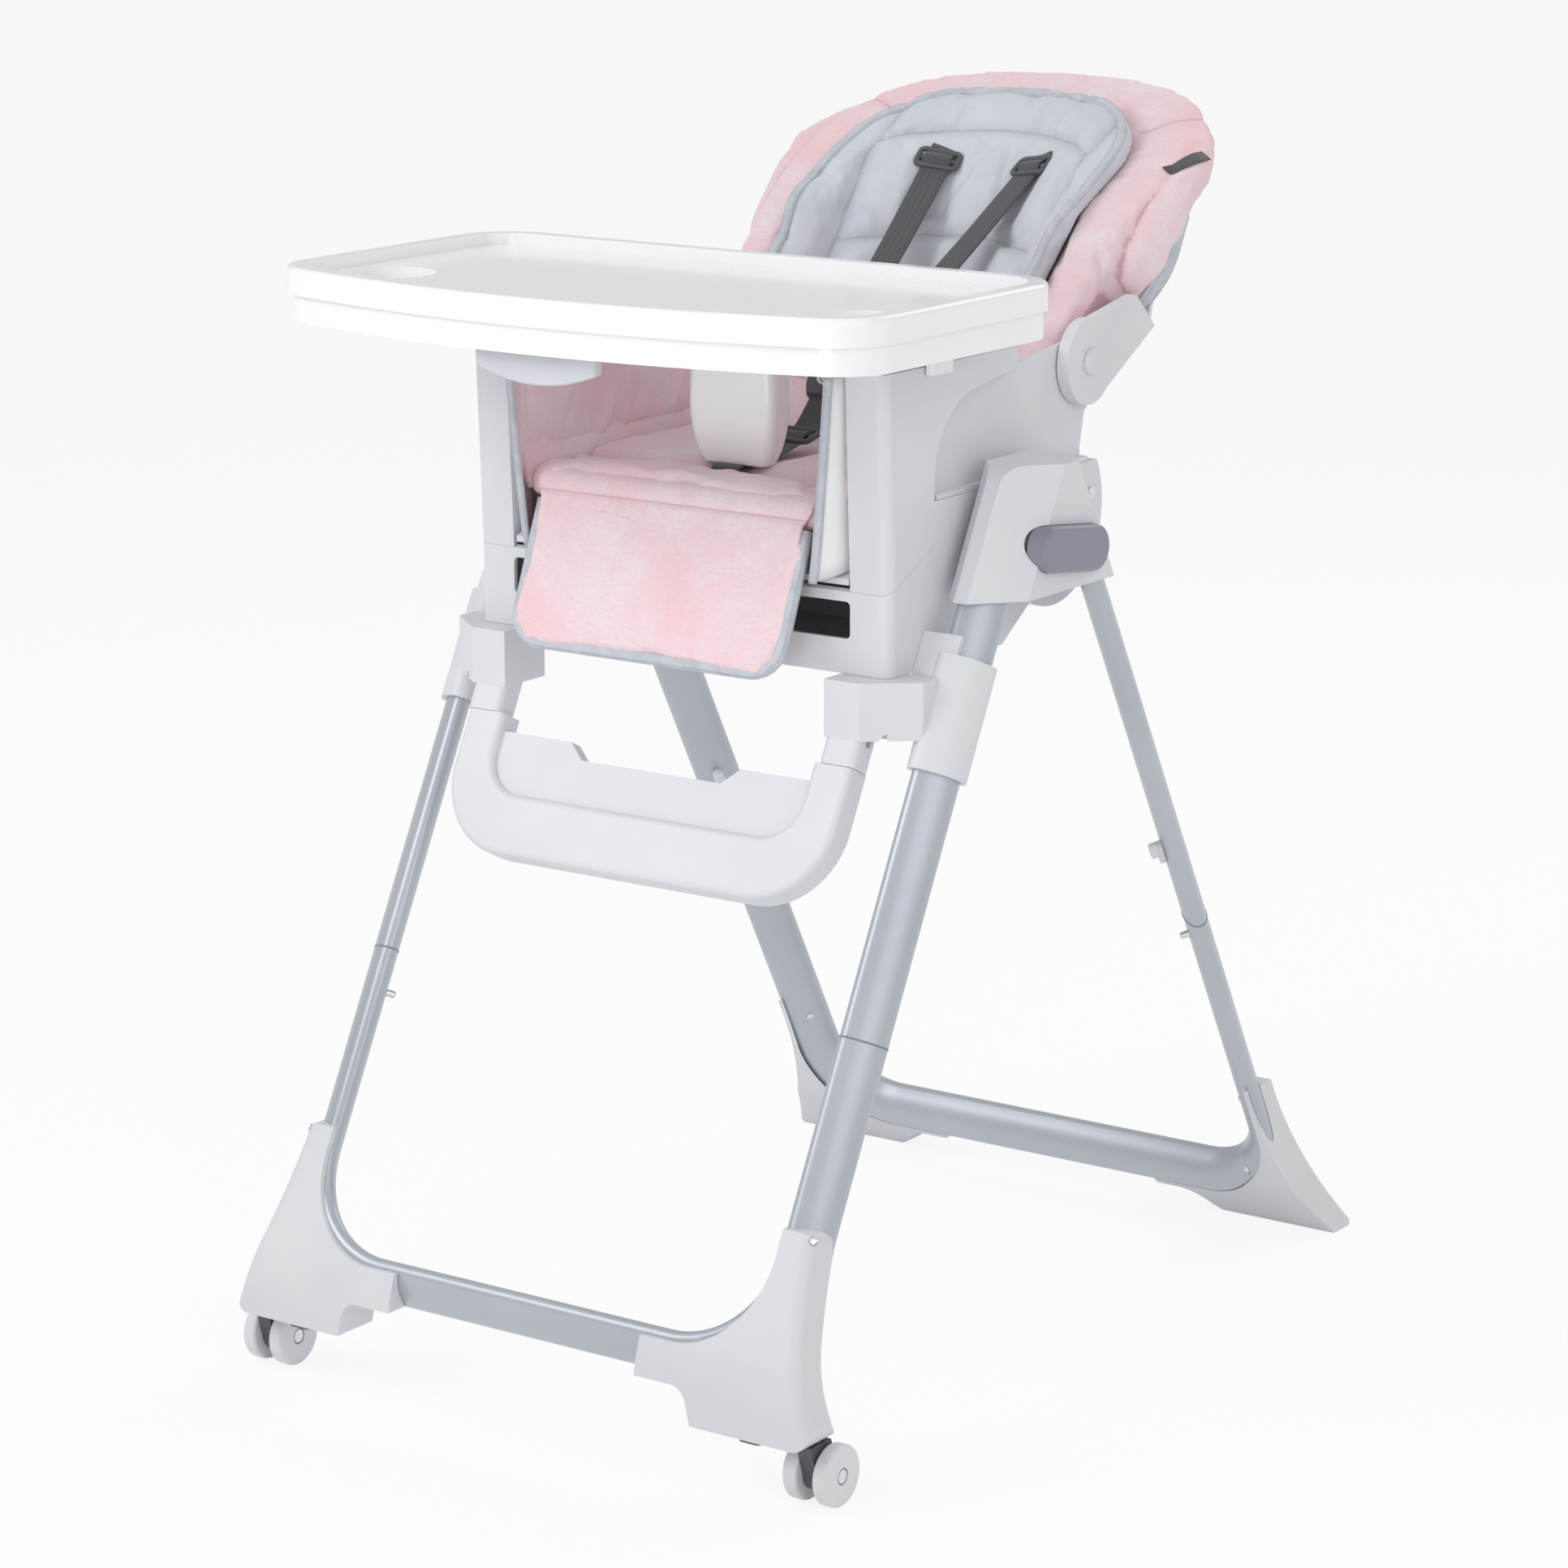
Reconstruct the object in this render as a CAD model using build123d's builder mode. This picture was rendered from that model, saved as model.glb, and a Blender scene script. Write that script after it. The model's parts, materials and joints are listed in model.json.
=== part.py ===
from build123d import *
from math import asin, atan2, cos, radians, sin, sqrt, tan
import os

# Driving sizes: half the width of the seat housing and the height of the arms
seat_half = 205.0
arm_top = 851.0

# Leg frames: two U-shaped frames of oval tube that lean towards each other
leg_spacing = 2 * seat_half + 72.0
front_lean = 27.4
rear_lean = 29.1
apex_y = -39.5
apex_z = 811.0
front_bar_z = 100.4
rear_bar_z = 44.2
front_bend = 95.0
rear_bend = 72.0
front_seam_z = 339.0
rear_seam_z = 332.0

# Oval tube, turned so that its wide side faces outwards at 45 degrees
tube_major = 40.0
tube_minor = 20.0
tube_nose = 7.0
tube_wall = 1.5
swage_length = 60.0

# Clearances
fit_gap = 0.2
slide_gap = 0.4
pin_gap = 0.08
seat_gap = 0.3

# Snap pins at the tube seams
snap_radius = 3.2
snap_stand = 8.0
snap_head_radius = 4.4
snap_head = 1.5
front_snap_drop = 36.0
rear_snap_drop = 20.0

# Front feet
front_foot_top = 208.0
front_foot_bottom = 53.0
front_foot_outer = leg_spacing / 2 + 53.0
front_foot_inner = leg_spacing / 2 - 63.0
front_foot_tongue = leg_spacing / 2 - 117.0
front_foot_front = -432.5
front_foot_back = -388.0
foot_wall = 4.0
foot_edge_round = 13.0
foot_turn = 50.0

# Rear feet
rear_foot_top = 152.0
rear_foot_outer = leg_spacing / 2 + 51.0
rear_foot_inner = leg_spacing / 2 - 65.0
rear_foot_lip = leg_spacing / 2 - 125.0
rear_foot_front = 404.0
rear_foot_back = 432.5

# Castors
castor_x = leg_spacing / 2 + 34.0
stem_y = -402.0
castor_trail = 10.0
wheel_radius = 25.0
wheel_width = 13.0
wheel_gap = 1.0
wheel_hub_radius = 15.0
fork_width = 13.0
stem_radius = 5.0
stem_length = 26.0
axle_radius = 3.0
axle_head_radius = 5.5

# Hubs that hold the tops of the legs
hub_inner_x = leg_spacing / 2 - 28.0
hub_outer_x = leg_spacing / 2 + 33.0
hub_bottom = 664.0
hub_top = 767.0
hub_margin = 6.0
hub_round = 26.0
hub_cover = 4.0
hub_cavity_outer = leg_spacing / 2 + 19.0
front_leg_top_z = 736.0
pivot_z = 736.0
pivot_radius = 5.0
lug_radius = 17.0
lug_width = 30.0
fold_angle = 48.0

# Fold buttons
button_y = -43.0
button_z = 698.0
button_length = 100.0
button_height = 38.0
button_tilt = 7.0
button_proud = 10.0
button_depth = 8.0
button_travel = 4.0

# Seat carriage: collars that slide on the front legs, with the footrest sockets
collar_bottom_z = 533.0
collar_top_z = 618.0
collar_wall = 4.5
web_top_z = 632.0
web_bottom_z = 562.0
web_ahead = 18.0
web_behind = 12.0
socket_x = seat_half - 28.0
socket_seam = 474.0
socket_ahead = 35.0
socket_width = 34.0
socket_depth = 26.0
socket_length = 72.0
stub_width = 27.0
stub_depth = 19.0
stub_length = 62.0
release_radius = 7.0
release_rise = 52.0
release_step = 25.0
release_stand = 2.5

# Seat base, bucket and arms
seat_front = -198.0
seat_bottom = 609.0
seat_ledge = 742.0
base_wall = 4.0
post_back = -134.0
post_seam_front = 675.0
post_seam_back = 706.0
drum_y = 45.0
drum_z = 706.0
drum_radius = 77.0
window_half = seat_half - 37.0
window_low = 637.0
window_high = 667.0
bucket_half = seat_half - 9.0
bucket_wall = 5.0
bucket_floor = 712.0
bucket_back = 104.0
bucket_top = arm_top - 19.0
arm_inner = seat_half - 37.0
arm_front_lean = 8.0
arm_back = -12.0
arm_round = 10.0

# Backrest, measured from its pivot: up the back and square to it
back_pivot_y = 96.0
back_pivot_z = bucket_top - 6.0
back_lean = 43.5
ear_radius = 36.0
ear_inner = bucket_half + 1.3
ear_outer = ear_inner + 10.7
back_pin_radius = 6.0
pad_sag = -50.0
pad_thick = 30.0
pad_curve = 764.0
pad_half = 214.0
pad_low_half = bucket_half - 10.0
pad_flare = 84.0
pad_top = 355.0
pad_bottom = -26.0
dish_radius = 199.4
bolster_x = 144.0
bolster_width = 32.0
head_start = 108.0
head_slope = 19.7
insert_thick = 16.5
insert_half = 142.0
insert_top = 304.0
insert_bottom = 44.0
shell_thick = 5.0
shell_half = 192.0
shell_top = 324.0
shell_bottom = 60.0
strap_x = 48.0
strap_width = 27.0
strap_thick = 2.0
strap_top = 222.0
strap_drop = 170.0
handle_half = 27.0
handle_t = 238.0
handle_n = -92.5
handle_pin = 3.0

# Cushion and flap
cushion_half = bucket_half - 37.0
cushion_front = -204.0
cushion_back = 88.0
cushion_thick = 30.0
strap_seat_y = -122.0
side_pad_thick = 6.5
side_pad_top = arm_top - 13.0
flap_half = arm_inner - 34.0
flap_length = 122.0
flap_lean = 21.5
flap_thick = 9.0
flap_round = 26.0

# Tray
tray_half = seat_half + 80.0
tray_front = -398.0
tray_front_bow = 46.0
tray_back = -68.0
tray_bottom = arm_top + 23.0
tray_deck = tray_bottom + 29.0
tray_rim = tray_deck + 15.0
tray_wall = 3.0
tray_corner = 48.0
lip_over = 3.5
lip_bottom = tray_deck - 7.0
cup_x = tray_half - 59.0
cup_y = -284.0
cup_radius = 39.0
post_half = 41.0
post_bottom = 750.0
post_y = -112.0
post_thick = 30.0
lever_half = 58.0
lever_bottom = tray_bottom - 26.0
lever_thick = 9.0
lever_y = -379.5
lever_slide = 46.0
runner_inner = arm_inner + 7.0
runner_outer = seat_half - 3.0
runner_front = -215.0
runner_back = -100.0
latch_y = -135.0
latch_z = tray_bottom + 12.0
rim_width = 12.0
well_floor = tray_deck + 5.0
cup_floor = tray_deck - 7.0

# Footrest
footrest_drop = 118.0
footrest_bar = 52.0
footrest_corner = 70.0
footrest_thick = 24.0
footrest_panel = 16.0
footrest_half = socket_x + 15.0
footrest_inner = socket_x - 22.0

leg_x = leg_spacing / 2


class LegFrame:
    # Axes of one U frame: up runs along the legs, out is square to the frame and away from the chair
    def __init__(self, lean, bar_z, side):
        angle = radians(lean)
        self.side = side
        self.bar_z = bar_z
        self.rise = cos(angle)
        self.up = Vector(0, -side * sin(angle), cos(angle))
        self.out = Vector(0, side * cos(angle), sin(angle))
        self.foot = Vector(0, apex_y + side * (apex_z - bar_z) * tan(angle), bar_z)
        self.major = (Vector(1, 0, 0) - self.out).normalized()
        self.minor = (Vector(1, 0, 0) + self.out).normalized()

    def at(self, x, along, off=0.0):
        return self.foot + Vector(x, 0, 0) + self.up * along + self.out * off

    def along(self, z):
        return (z - self.bar_z) / self.rise

    def y(self, z):
        return self.at(0, self.along(z)).Y

    def section(self, along):
        # Plane across the right leg: x along the wide way of the tube, y outwards
        return Plane(self.at(leg_x, along), x_dir=self.major, z_dir=self.up * self.side)


front = LegFrame(front_lean, front_bar_z, -1)
rear = LegFrame(rear_lean, rear_bar_z, 1)
front_seam = front.along(front_seam_z)
rear_seam = rear.along(rear_seam_z)


def oval(length, width, nose, mode=Mode.ADD):
    # Oval of four tangent arcs
    half, rise = length / 2, width / 2
    flat = ((half - nose) ** 2 + rise**2 - nose**2) / (2 * (rise - nose))
    turn = atan2(flat - rise, half - nose)
    tip_x = half - nose + nose * cos(turn)
    tip_y = nose * sin(turn)
    with BuildLine() as outline:
        ThreePointArc((tip_x, -tip_y), (half, 0), (tip_x, tip_y))
        ThreePointArc((tip_x, tip_y), (0, rise), (-tip_x, tip_y))
        ThreePointArc((-tip_x, tip_y), (-half, 0), (-tip_x, -tip_y))
        ThreePointArc((-tip_x, -tip_y), (0, -rise), (tip_x, -tip_y))
    make_face(outline.edges(), mode=mode)


def tube_oval(grow, mode=Mode.ADD):
    # The tube's oval, larger all round by grow
    oval(tube_major + 2 * grow, tube_minor + 2 * grow, tube_nose + grow, mode)


def save(piece, name):
    piece.label = name
    export_step(piece, f"parts/{name}.step")


def save_pair(piece, name):
    # The piece as made is the right-hand one
    save(piece, f"{name}_right")
    save(mirror(piece, about=Plane.YZ), f"{name}_left")


def save_both(piece, name):
    # Two mirrored copies in one node
    save(Compound(children=[Part() + piece, Part() + mirror(piece, about=Plane.YZ)]), name)


os.makedirs("parts", exist_ok=True)

# Lower U tubes
for name, frame, bend, seam, snap_drop in (
    ("front_base_tube", front, front_bend, front_seam, front_snap_drop),
    ("rear_base_tube", rear, rear_bend, rear_seam, rear_snap_drop),
):
    with BuildPart() as base_tube:
        with BuildLine() as run:
            FilletPolyline(
                frame.at(leg_x, seam),
                frame.at(leg_x, 0),
                frame.at(-leg_x, 0),
                frame.at(-leg_x, seam),
                radius=bend,
            )
        with BuildSketch(frame.section(seam)):
            tube_oval(0)
            tube_oval(-tube_wall, Mode.SUBTRACT)
        sweep(path=run.line)
        # Holes for the snap pins on the inner side
        with BuildSketch(Plane(frame.at(leg_x, seam - snap_drop), x_dir=frame.major, z_dir=-frame.minor)):
            Circle(snap_radius + pin_gap)
        extrude(amount=tube_minor, mode=Mode.SUBTRACT)
        left_minor = Vector(-frame.minor.X, frame.minor.Y, frame.minor.Z)
        left_major = Vector(-frame.major.X, frame.major.Y, frame.major.Z)
        with BuildSketch(Plane(frame.at(-leg_x, seam - snap_drop), x_dir=left_major, z_dir=-left_minor)):
            Circle(snap_radius + pin_gap)
        extrude(amount=tube_minor, mode=Mode.SUBTRACT)
    save(base_tube.part, name)

# Upper leg tubes with a swaged end that plugs into the lower tube
rear_pivot = rear.along(pivot_z)
for name, frame, seam, top, snap_drop in (
    ("front_leg", front, front_seam, front.along(front_leg_top_z), front_snap_drop),
    ("rear_leg", rear, rear_seam, rear_pivot - lug_radius - 8.0, rear_snap_drop),
):
    with BuildPart() as leg:
        with BuildSketch(frame.section(seam)):
            tube_oval(0)
            tube_oval(-2 * tube_wall - fit_gap, Mode.SUBTRACT)
        extrude(amount=tube_wall, dir=frame.up)
        with BuildSketch(frame.section(seam + tube_wall)):
            tube_oval(0)
            tube_oval(-tube_wall, Mode.SUBTRACT)
        extrude(amount=top - seam - tube_wall, dir=frame.up)
        with BuildSketch(frame.section(seam - swage_length)):
            tube_oval(-tube_wall - fit_gap)
            tube_oval(-2 * tube_wall - fit_gap, Mode.SUBTRACT)
        extrude(amount=swage_length, dir=frame.up)
        with BuildSketch(Plane(frame.at(leg_x, seam - snap_drop), x_dir=frame.major, z_dir=-frame.minor)):
            Circle(snap_radius + pin_gap)
        extrude(amount=tube_minor, mode=Mode.SUBTRACT)
    save_pair(leg.part, name)

# Spring snap pins: a round nose through both tubes and a head inside
bore_half = tube_minor / 2 - 2 * tube_wall - fit_gap
for name, frame, seam, snap_drop in (
    ("front_snap_pin", front, front_seam, front_snap_drop),
    ("rear_snap_pin", rear, rear_seam, rear_snap_drop),
):
    with BuildPart() as snap_pin:
        head_plane = Plane(frame.at(leg_x, seam - snap_drop), x_dir=frame.major, z_dir=-frame.minor)
        with BuildSketch(head_plane.offset(bore_half - snap_head - 0.7)):
            Circle(snap_head_radius)
        extrude(amount=snap_head)
        with BuildSketch(head_plane.offset(bore_half - snap_head - 0.7)):
            Circle(snap_radius)
        extrude(amount=tube_minor / 2 + snap_stand - bore_half + snap_head + 0.7)
        nose = snap_pin.edges().filter_by(GeomType.CIRCLE).sort_by(lambda e: e.center().dot(-frame.minor))[-1]
        fillet(nose, snap_radius * 0.6)
    save_pair(snap_pin.part, name)


def leg_run(frame, seam, bend, reach):
    # Centre line of the right leg from its seam round the bend to x = reach
    with BuildLine() as run:
        FilletPolyline(frame.at(leg_x, seam), frame.at(leg_x, 0), frame.at(reach, 0), radius=bend)
    return run.line


# Foot groove: the tube's oval, open towards the inner side of the bend
groove_depth = 34.0


def groove_section():
    tube_oval(seat_gap)
    with Locations((0, -groove_depth / 2)):
        Rectangle(tube_major + 2 * seat_gap, groove_depth)


# Front feet: a moulded gusset on the outer front side of each bend, over the castor
front_reach = tube_major / 2 * 0.8 + foot_wall
with BuildPart() as front_foot:
    with BuildSketch(Plane.XZ):
        with BuildLine():
            bar_edge = front_bar_z + tube_minor / 2 + foot_wall
            Line((front_foot_tongue, bar_edge), (leg_x - front_bend, bar_edge))
            bend_top = (leg_x - foot_wall - tube_minor / 2, front_bar_z + front_bend)
            bend_mid = (leg_x - front_bend * 0.41, front_bar_z + front_bend * 0.35)
            ThreePointArc((leg_x - front_bend, bar_edge), bend_mid, bend_top)
            Line(bend_top, (bend_top[0], front_foot_top))
            outer_top = (leg_x + tube_minor / 2 + 5.0, front_foot_top)
            Line((bend_top[0], front_foot_top), outer_top)
            flare_mid = (front_foot_outer - 22.0, front_bar_z + 16.0)
            ThreePointArc(outer_top, flare_mid, (front_foot_outer, front_foot_bottom))
            Line((front_foot_outer, front_foot_bottom), (front_foot_inner, front_foot_bottom))
            tongue_low = front_bar_z - tube_major / 2 + 3.0
            Line((front_foot_inner, front_foot_bottom), (front_foot_inner - 4.0, tongue_low - 12.0))
            arch_mid = (front_foot_inner - 8.5, tongue_low - 4.0)
            arch_end = (front_foot_inner - 20.0, tongue_low)
            ThreePointArc((front_foot_inner - 4.0, tongue_low - 12.0), arch_mid, arch_end)
            Line(arch_end, (front_foot_tongue, tongue_low))
            Line((front_foot_tongue, tongue_low), (front_foot_tongue, bar_edge))
        make_face()
    extrude(amount=-front_foot_front, both=True)
    with BuildSketch(Plane.YZ):
        lean_step = front_reach / front.rise
        turn_in = foot_turn * sin(radians(front_lean / 2))
        turn_down = foot_turn * cos(radians(front_lean / 2))
        with BuildLine():
            ends = []
            for step, limit in ((-lean_step, front_foot_front), (lean_step, front_foot_back)):
                bend_z = apex_z - (apex_y + step - limit - turn_in) / tan(radians(front_lean))
                top = (front.y(front_foot_top) + step, front_foot_top)
                bend = (front.y(bend_z) + step, bend_z)
                low = (limit, bend_z - turn_down)
                Line(top, bend)
                TangentArc(bend, low, tangent=(-front.up.Y, -front.up.Z))
                Line(low, (limit, front_foot_bottom))
                ends.append((top, (limit, front_foot_bottom)))
            Line(ends[0][0], ends[1][0])
            Line(ends[0][1], ends[1][1])
        make_face()
    extrude(amount=front_foot_outer + 10.0, mode=Mode.INTERSECT)
    flare = front_foot.faces().sort_by(lambda f: f.center().X)[-1]
    fillet(flare.edges().filter_by(lambda e: e.length > foot_edge_round * 2), foot_edge_round)
    with BuildSketch(front.section(front_seam)):
        groove_section()
    sweep(path=leg_run(front, front_seam, front_bend, 0), mode=Mode.SUBTRACT)
    # Bore for the castor stem
    with BuildSketch(Plane.XY.offset(front_foot_bottom)):
        with Locations((castor_x, stem_y)):
            Circle(stem_radius + pin_gap)
    extrude(amount=stem_length + 1.0, mode=Mode.SUBTRACT)
save_pair(front_foot.part, "front_foot")

# Rear feet: flared fins that stand on the floor
rear_reach = tube_major / 2 * 0.8 + foot_wall
with BuildPart() as rear_foot:
    with BuildSketch(Plane.XZ):
        with BuildLine():
            Line((rear_foot_lip, rear_bar_z), (leg_x - rear_bend, rear_bar_z))
            fin_top = (leg_x - 4.0, rear_bar_z + rear_bend)
            fin_mid = (leg_x - rear_bend * 0.3, rear_bar_z + rear_bend * 0.26)
            ThreePointArc((leg_x - rear_bend, rear_bar_z), fin_mid, fin_top)
            Line(fin_top, (leg_x - 4.0, rear_foot_top))
            outer_top = (leg_x + tube_minor / 2 + 2.0, rear_foot_top)
            Line((leg_x - 4.0, rear_foot_top), outer_top)
            ThreePointArc(outer_top, (rear_foot_outer - 27.0, rear_foot_top * 0.42), (rear_foot_outer, 5.0))
            Line((rear_foot_outer, 5.0), (rear_foot_outer, 0))
            Line((rear_foot_outer, 0), (rear_foot_inner, 0))
            lip_low = rear_bar_z - tube_major / 2 - foot_wall
            Line((rear_foot_inner, 0), (rear_foot_inner - 8.0, 6.0))
            ThreePointArc(
                (rear_foot_inner - 8.0, 6.0),
                (rear_foot_inner - 18.0, lip_low * 0.72),
                (rear_foot_inner - 36.0, lip_low),
            )
            Line((rear_foot_inner - 36.0, lip_low), (rear_foot_lip, lip_low))
            Line((rear_foot_lip, lip_low), (rear_foot_lip, rear_bar_z))
        make_face()
    extrude(amount=rear_foot_back, both=True)
    with BuildSketch(Plane.YZ):
        lean_step = rear_reach / rear.rise
        with BuildLine():
            Polyline(
                (rear.y(rear_foot_top) - lean_step, rear_foot_top),
                (rear.y(rear_bar_z) - lean_step, rear_bar_z),
                (rear_foot_front, 0),
                (rear_foot_back, 0),
                (rear_foot_back, 6.0),
                (rear.y(rear_foot_top) + lean_step, rear_foot_top),
                close=True,
            )
        make_face()
    extrude(amount=rear_foot_outer + 10.0, mode=Mode.INTERSECT)
    with BuildSketch(rear.section(rear_seam)):
        groove_section()
    sweep(path=leg_run(rear, rear_seam, rear_bend, 0), mode=Mode.SUBTRACT)
save_pair(rear_foot.part, "rear_foot")

# Castors: a swivelling fork between two wheels on one bolt
axle_y = stem_y + castor_trail
with BuildPart() as castor_fork:
    with BuildSketch(Plane.YZ.offset(castor_x - fork_width / 2)):
        with Locations((axle_y, wheel_radius)):
            Circle(wheel_hub_radius)
        with BuildLine():
            Polyline(
                (stem_y - 14.0, front_foot_bottom - 1.0),
                (stem_y + 14.0, front_foot_bottom - 1.0),
                (axle_y + wheel_hub_radius, wheel_radius),
                (axle_y - wheel_hub_radius, wheel_radius),
                close=True,
            )
        make_face()
        with Locations((axle_y, wheel_radius)):
            Circle(axle_radius + pin_gap, mode=Mode.SUBTRACT)
    extrude(amount=fork_width)
    with BuildSketch(Plane.XY.offset(front_foot_bottom - 1.0)):
        with Locations((castor_x, stem_y)):
            Circle(stem_radius)
    extrude(amount=stem_length)
save_pair(castor_fork.part, "castor_fork")

with BuildPart() as castor_wheels:
    for start in (castor_x + fork_width / 2 + wheel_gap, castor_x - fork_width / 2 - wheel_gap - wheel_width):
        with BuildSketch(Plane.YZ.offset(start)):
            with Locations((axle_y, wheel_radius)):
                Circle(wheel_radius)
                Circle(axle_radius + pin_gap, mode=Mode.SUBTRACT)
        extrude(amount=wheel_width)
    rims = castor_wheels.edges().filter_by(GeomType.CIRCLE).filter_by(lambda e: e.radius > wheel_radius - 0.5)
    fillet(rims, 3.0)
    # Dished hubs on the outer sides
    for plane in (
        Plane.YZ.offset(castor_x + fork_width / 2 + wheel_gap + wheel_width),
        Plane.YZ.offset(castor_x - fork_width / 2 - wheel_gap - wheel_width),
    ):
        away = 1 if plane.origin.X > castor_x else -1
        with BuildSketch(plane.offset(-away * 3.0)):
            with Locations((axle_y, wheel_radius)):
                Circle(axle_head_radius + 1.5)
        extrude(amount=away * 4.0, mode=Mode.SUBTRACT)
save_pair(castor_wheels.part, "castor_wheels")

with BuildPart() as castor_bolt:
    half = fork_width / 2 + wheel_gap + wheel_width - 3.0
    with BuildSketch(Plane.YZ.offset(castor_x - half - 2.5)):
        with Locations((axle_y, wheel_radius)):
            Circle(axle_radius)
    extrude(amount=2 * half + 5.0)
    for start in (castor_x + half + 0.3, castor_x - half - 2.5):
        with BuildSketch(Plane.YZ.offset(start)):
            with Locations((axle_y, wheel_radius)):
                Circle(axle_head_radius)
        extrude(amount=2.2)
save_pair(castor_bolt.part, "castor_bolt")

# Hub housings: a hollow moulding round the top of the front leg, open below for the rear leg
pivot_y = rear.y(pivot_z)
hub_socket = front.along(front_leg_top_z) + fit_gap - front.along(hub_bottom) + 60.0
hub_front = tube_major / 2 * 0.8 + hub_margin
hub_wall = 5.0
rear_down = Vector(0, -rear.up.Y, -rear.up.Z)
fold = radians(rear_lean - fold_angle)
fold_down = Vector(0, sin(fold), -cos(fold))


def hub_outline():
    step_front = hub_front / front.rise
    step_rear = hub_front / rear.rise
    with BuildLine() as outline:
        FilletPolyline(
            (front.y(hub_bottom) - step_front, hub_bottom),
            (front.y(hub_top) - step_front, hub_top),
            (rear.y(hub_top) + step_rear, hub_top),
            (rear.y(hub_bottom) + step_rear, hub_bottom),
            radius=hub_round,
        )
        Line(outline.edges().sort_by(Axis.X)[0] @ 0, outline.edges().sort_by(Axis.X)[-1] @ 1)
    make_face(outline.edges())


def hub_faces(frame):
    # Slanted sides of the hub, in line with the wide side and the inner edge of the tube
    return ((frame.minor, tube_minor / 2 + hub_wall), (-frame.major, tube_major / 2 + hub_wall))


def swing_space(reach, half):
    # The space that the top of the rear leg needs from rest to the end of the fold
    turn = [(down, Vector(0, -down.Z, down.Y)) for down in (rear_down, fold_down)]
    pivot = Vector(0, pivot_y, pivot_z)
    back = pivot + turn[0][1] * half
    ahead = pivot - turn[1][1] * half
    corners = [back, back + turn[0][0] * reach, ahead + turn[1][0] * reach, ahead]
    with Locations((pivot_y, pivot_z)):
        Circle(half)
    with BuildLine() as sector:
        Polyline(*[(p.Y, p.Z) for p in corners], close=True)
    make_face(sector.edges())


def bean():
    # Outline of the fold button on the side of the hub
    with Locations(Location((button_y, button_z), -button_tilt)):
        SlotOverall(button_length, button_height)


with BuildPart() as hub:
    with BuildSketch(Plane.YZ.offset(hub_inner_x + hub_cover)):
        hub_outline()
    extrude(amount=hub_outer_x - hub_inner_x - hub_cover)
    # Slanted faces in line with the wide sides of the tubes
    for frame in (front, rear):
        for away, reach in hub_faces(frame):
            split(bisect_by=Plane(frame.at(leg_x, 0) + away * reach, z_dir=away), keep=Keep.BOTTOM)
    # Socket for the front leg
    with BuildSketch(front.section(front.along(hub_bottom) - 60.0)):
        tube_oval(fit_gap)
    extrude(amount=hub_socket, dir=front.up, mode=Mode.SUBTRACT)
    # Room for the rear leg
    with BuildSketch(Plane.YZ.offset(hub_inner_x)):
        swing_space(200.0, lug_radius + 3.0)
    extrude(amount=hub_cavity_outer - hub_inner_x, mode=Mode.SUBTRACT)
    # Seat of the fold button
    with BuildSketch(Plane.YZ.offset(hub_outer_x - button_depth - button_travel - 1.0)):
        with Locations(Location((button_y, button_z), -button_tilt)):
            SlotOverall(button_length + 2 * slide_gap, button_height + 2 * slide_gap)
    extrude(amount=60.0, mode=Mode.SUBTRACT)
    with BuildSketch(Plane.YZ.offset(hub_inner_x)):
        with Locations((pivot_y, pivot_z)):
            Circle(pivot_radius)
    extrude(amount=hub_outer_x - 5.0 - hub_inner_x, mode=Mode.SUBTRACT)
save_pair(hub.part, "hub_housing")

with BuildPart() as hub_lid:
    with BuildSketch(Plane.YZ.offset(hub_inner_x)):
        hub_outline()
    extrude(amount=hub_cover)
    for frame in (front, rear):
        for away, reach in hub_faces(frame):
            split(bisect_by=Plane(frame.at(leg_x, 0) + away * reach, z_dir=away), keep=Keep.BOTTOM)
    with BuildSketch(front.section(front.along(hub_bottom) - 60.0)):
        tube_oval(fit_gap)
    extrude(amount=hub_socket, dir=front.up, mode=Mode.SUBTRACT)
    with BuildSketch(Plane.YZ.offset(hub_inner_x)):
        with Locations((pivot_y, pivot_z)):
            Circle(pivot_radius)
    extrude(amount=hub_cover, mode=Mode.SUBTRACT)
save_both(hub_lid.part, "hub_covers")

# Pivot pins of the fold
with BuildPart() as pivot_pin:
    with BuildSketch(Plane.YZ.offset(hub_inner_x)):
        with Locations((pivot_y, pivot_z)):
            Circle(pivot_radius - pin_gap)
    extrude(amount=hub_outer_x - 6.0 - hub_inner_x)
save_both(pivot_pin.part, "fold_pivot_pins")

# Lugs in the tops of the rear legs
with BuildPart() as lug:
    with BuildSketch(Plane.YZ.offset(leg_x - lug_width / 2)):
        with Locations((pivot_y, pivot_z)):
            Circle(lug_radius)
        with BuildLine():
            side = Vector(0, -rear_down.Z, rear_down.Y) * (lug_radius * 0.94)
            root = rear.at(0, rear_pivot - lug_radius - 8.0)
            pivot = Vector(0, pivot_y, pivot_z)
            corners = [pivot + side, root + side, root - side, pivot - side]
            Polyline(*[(p.Y, p.Z) for p in corners], close=True)
        make_face()
        with Locations((pivot_y, pivot_z)):
            Circle(pivot_radius, mode=Mode.SUBTRACT)
    extrude(amount=lug_width)
    with BuildSketch(rear.section(rear_pivot - lug_radius - 38.0)):
        tube_oval(-tube_wall - fit_gap)
    extrude(amount=30.0, dir=rear.up)
save_both(lug.part, "rear_leg_lugs")

# Fold buttons
with BuildPart() as fold_button:
    with BuildSketch(Plane.YZ.offset(hub_outer_x - button_depth)):
        bean()
    extrude(amount=button_depth + button_proud)
    fillet(fold_button.faces().sort_by(Axis.X)[-1].edges(), 4.0)
save_pair(fold_button.part, "fold_button")

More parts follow.
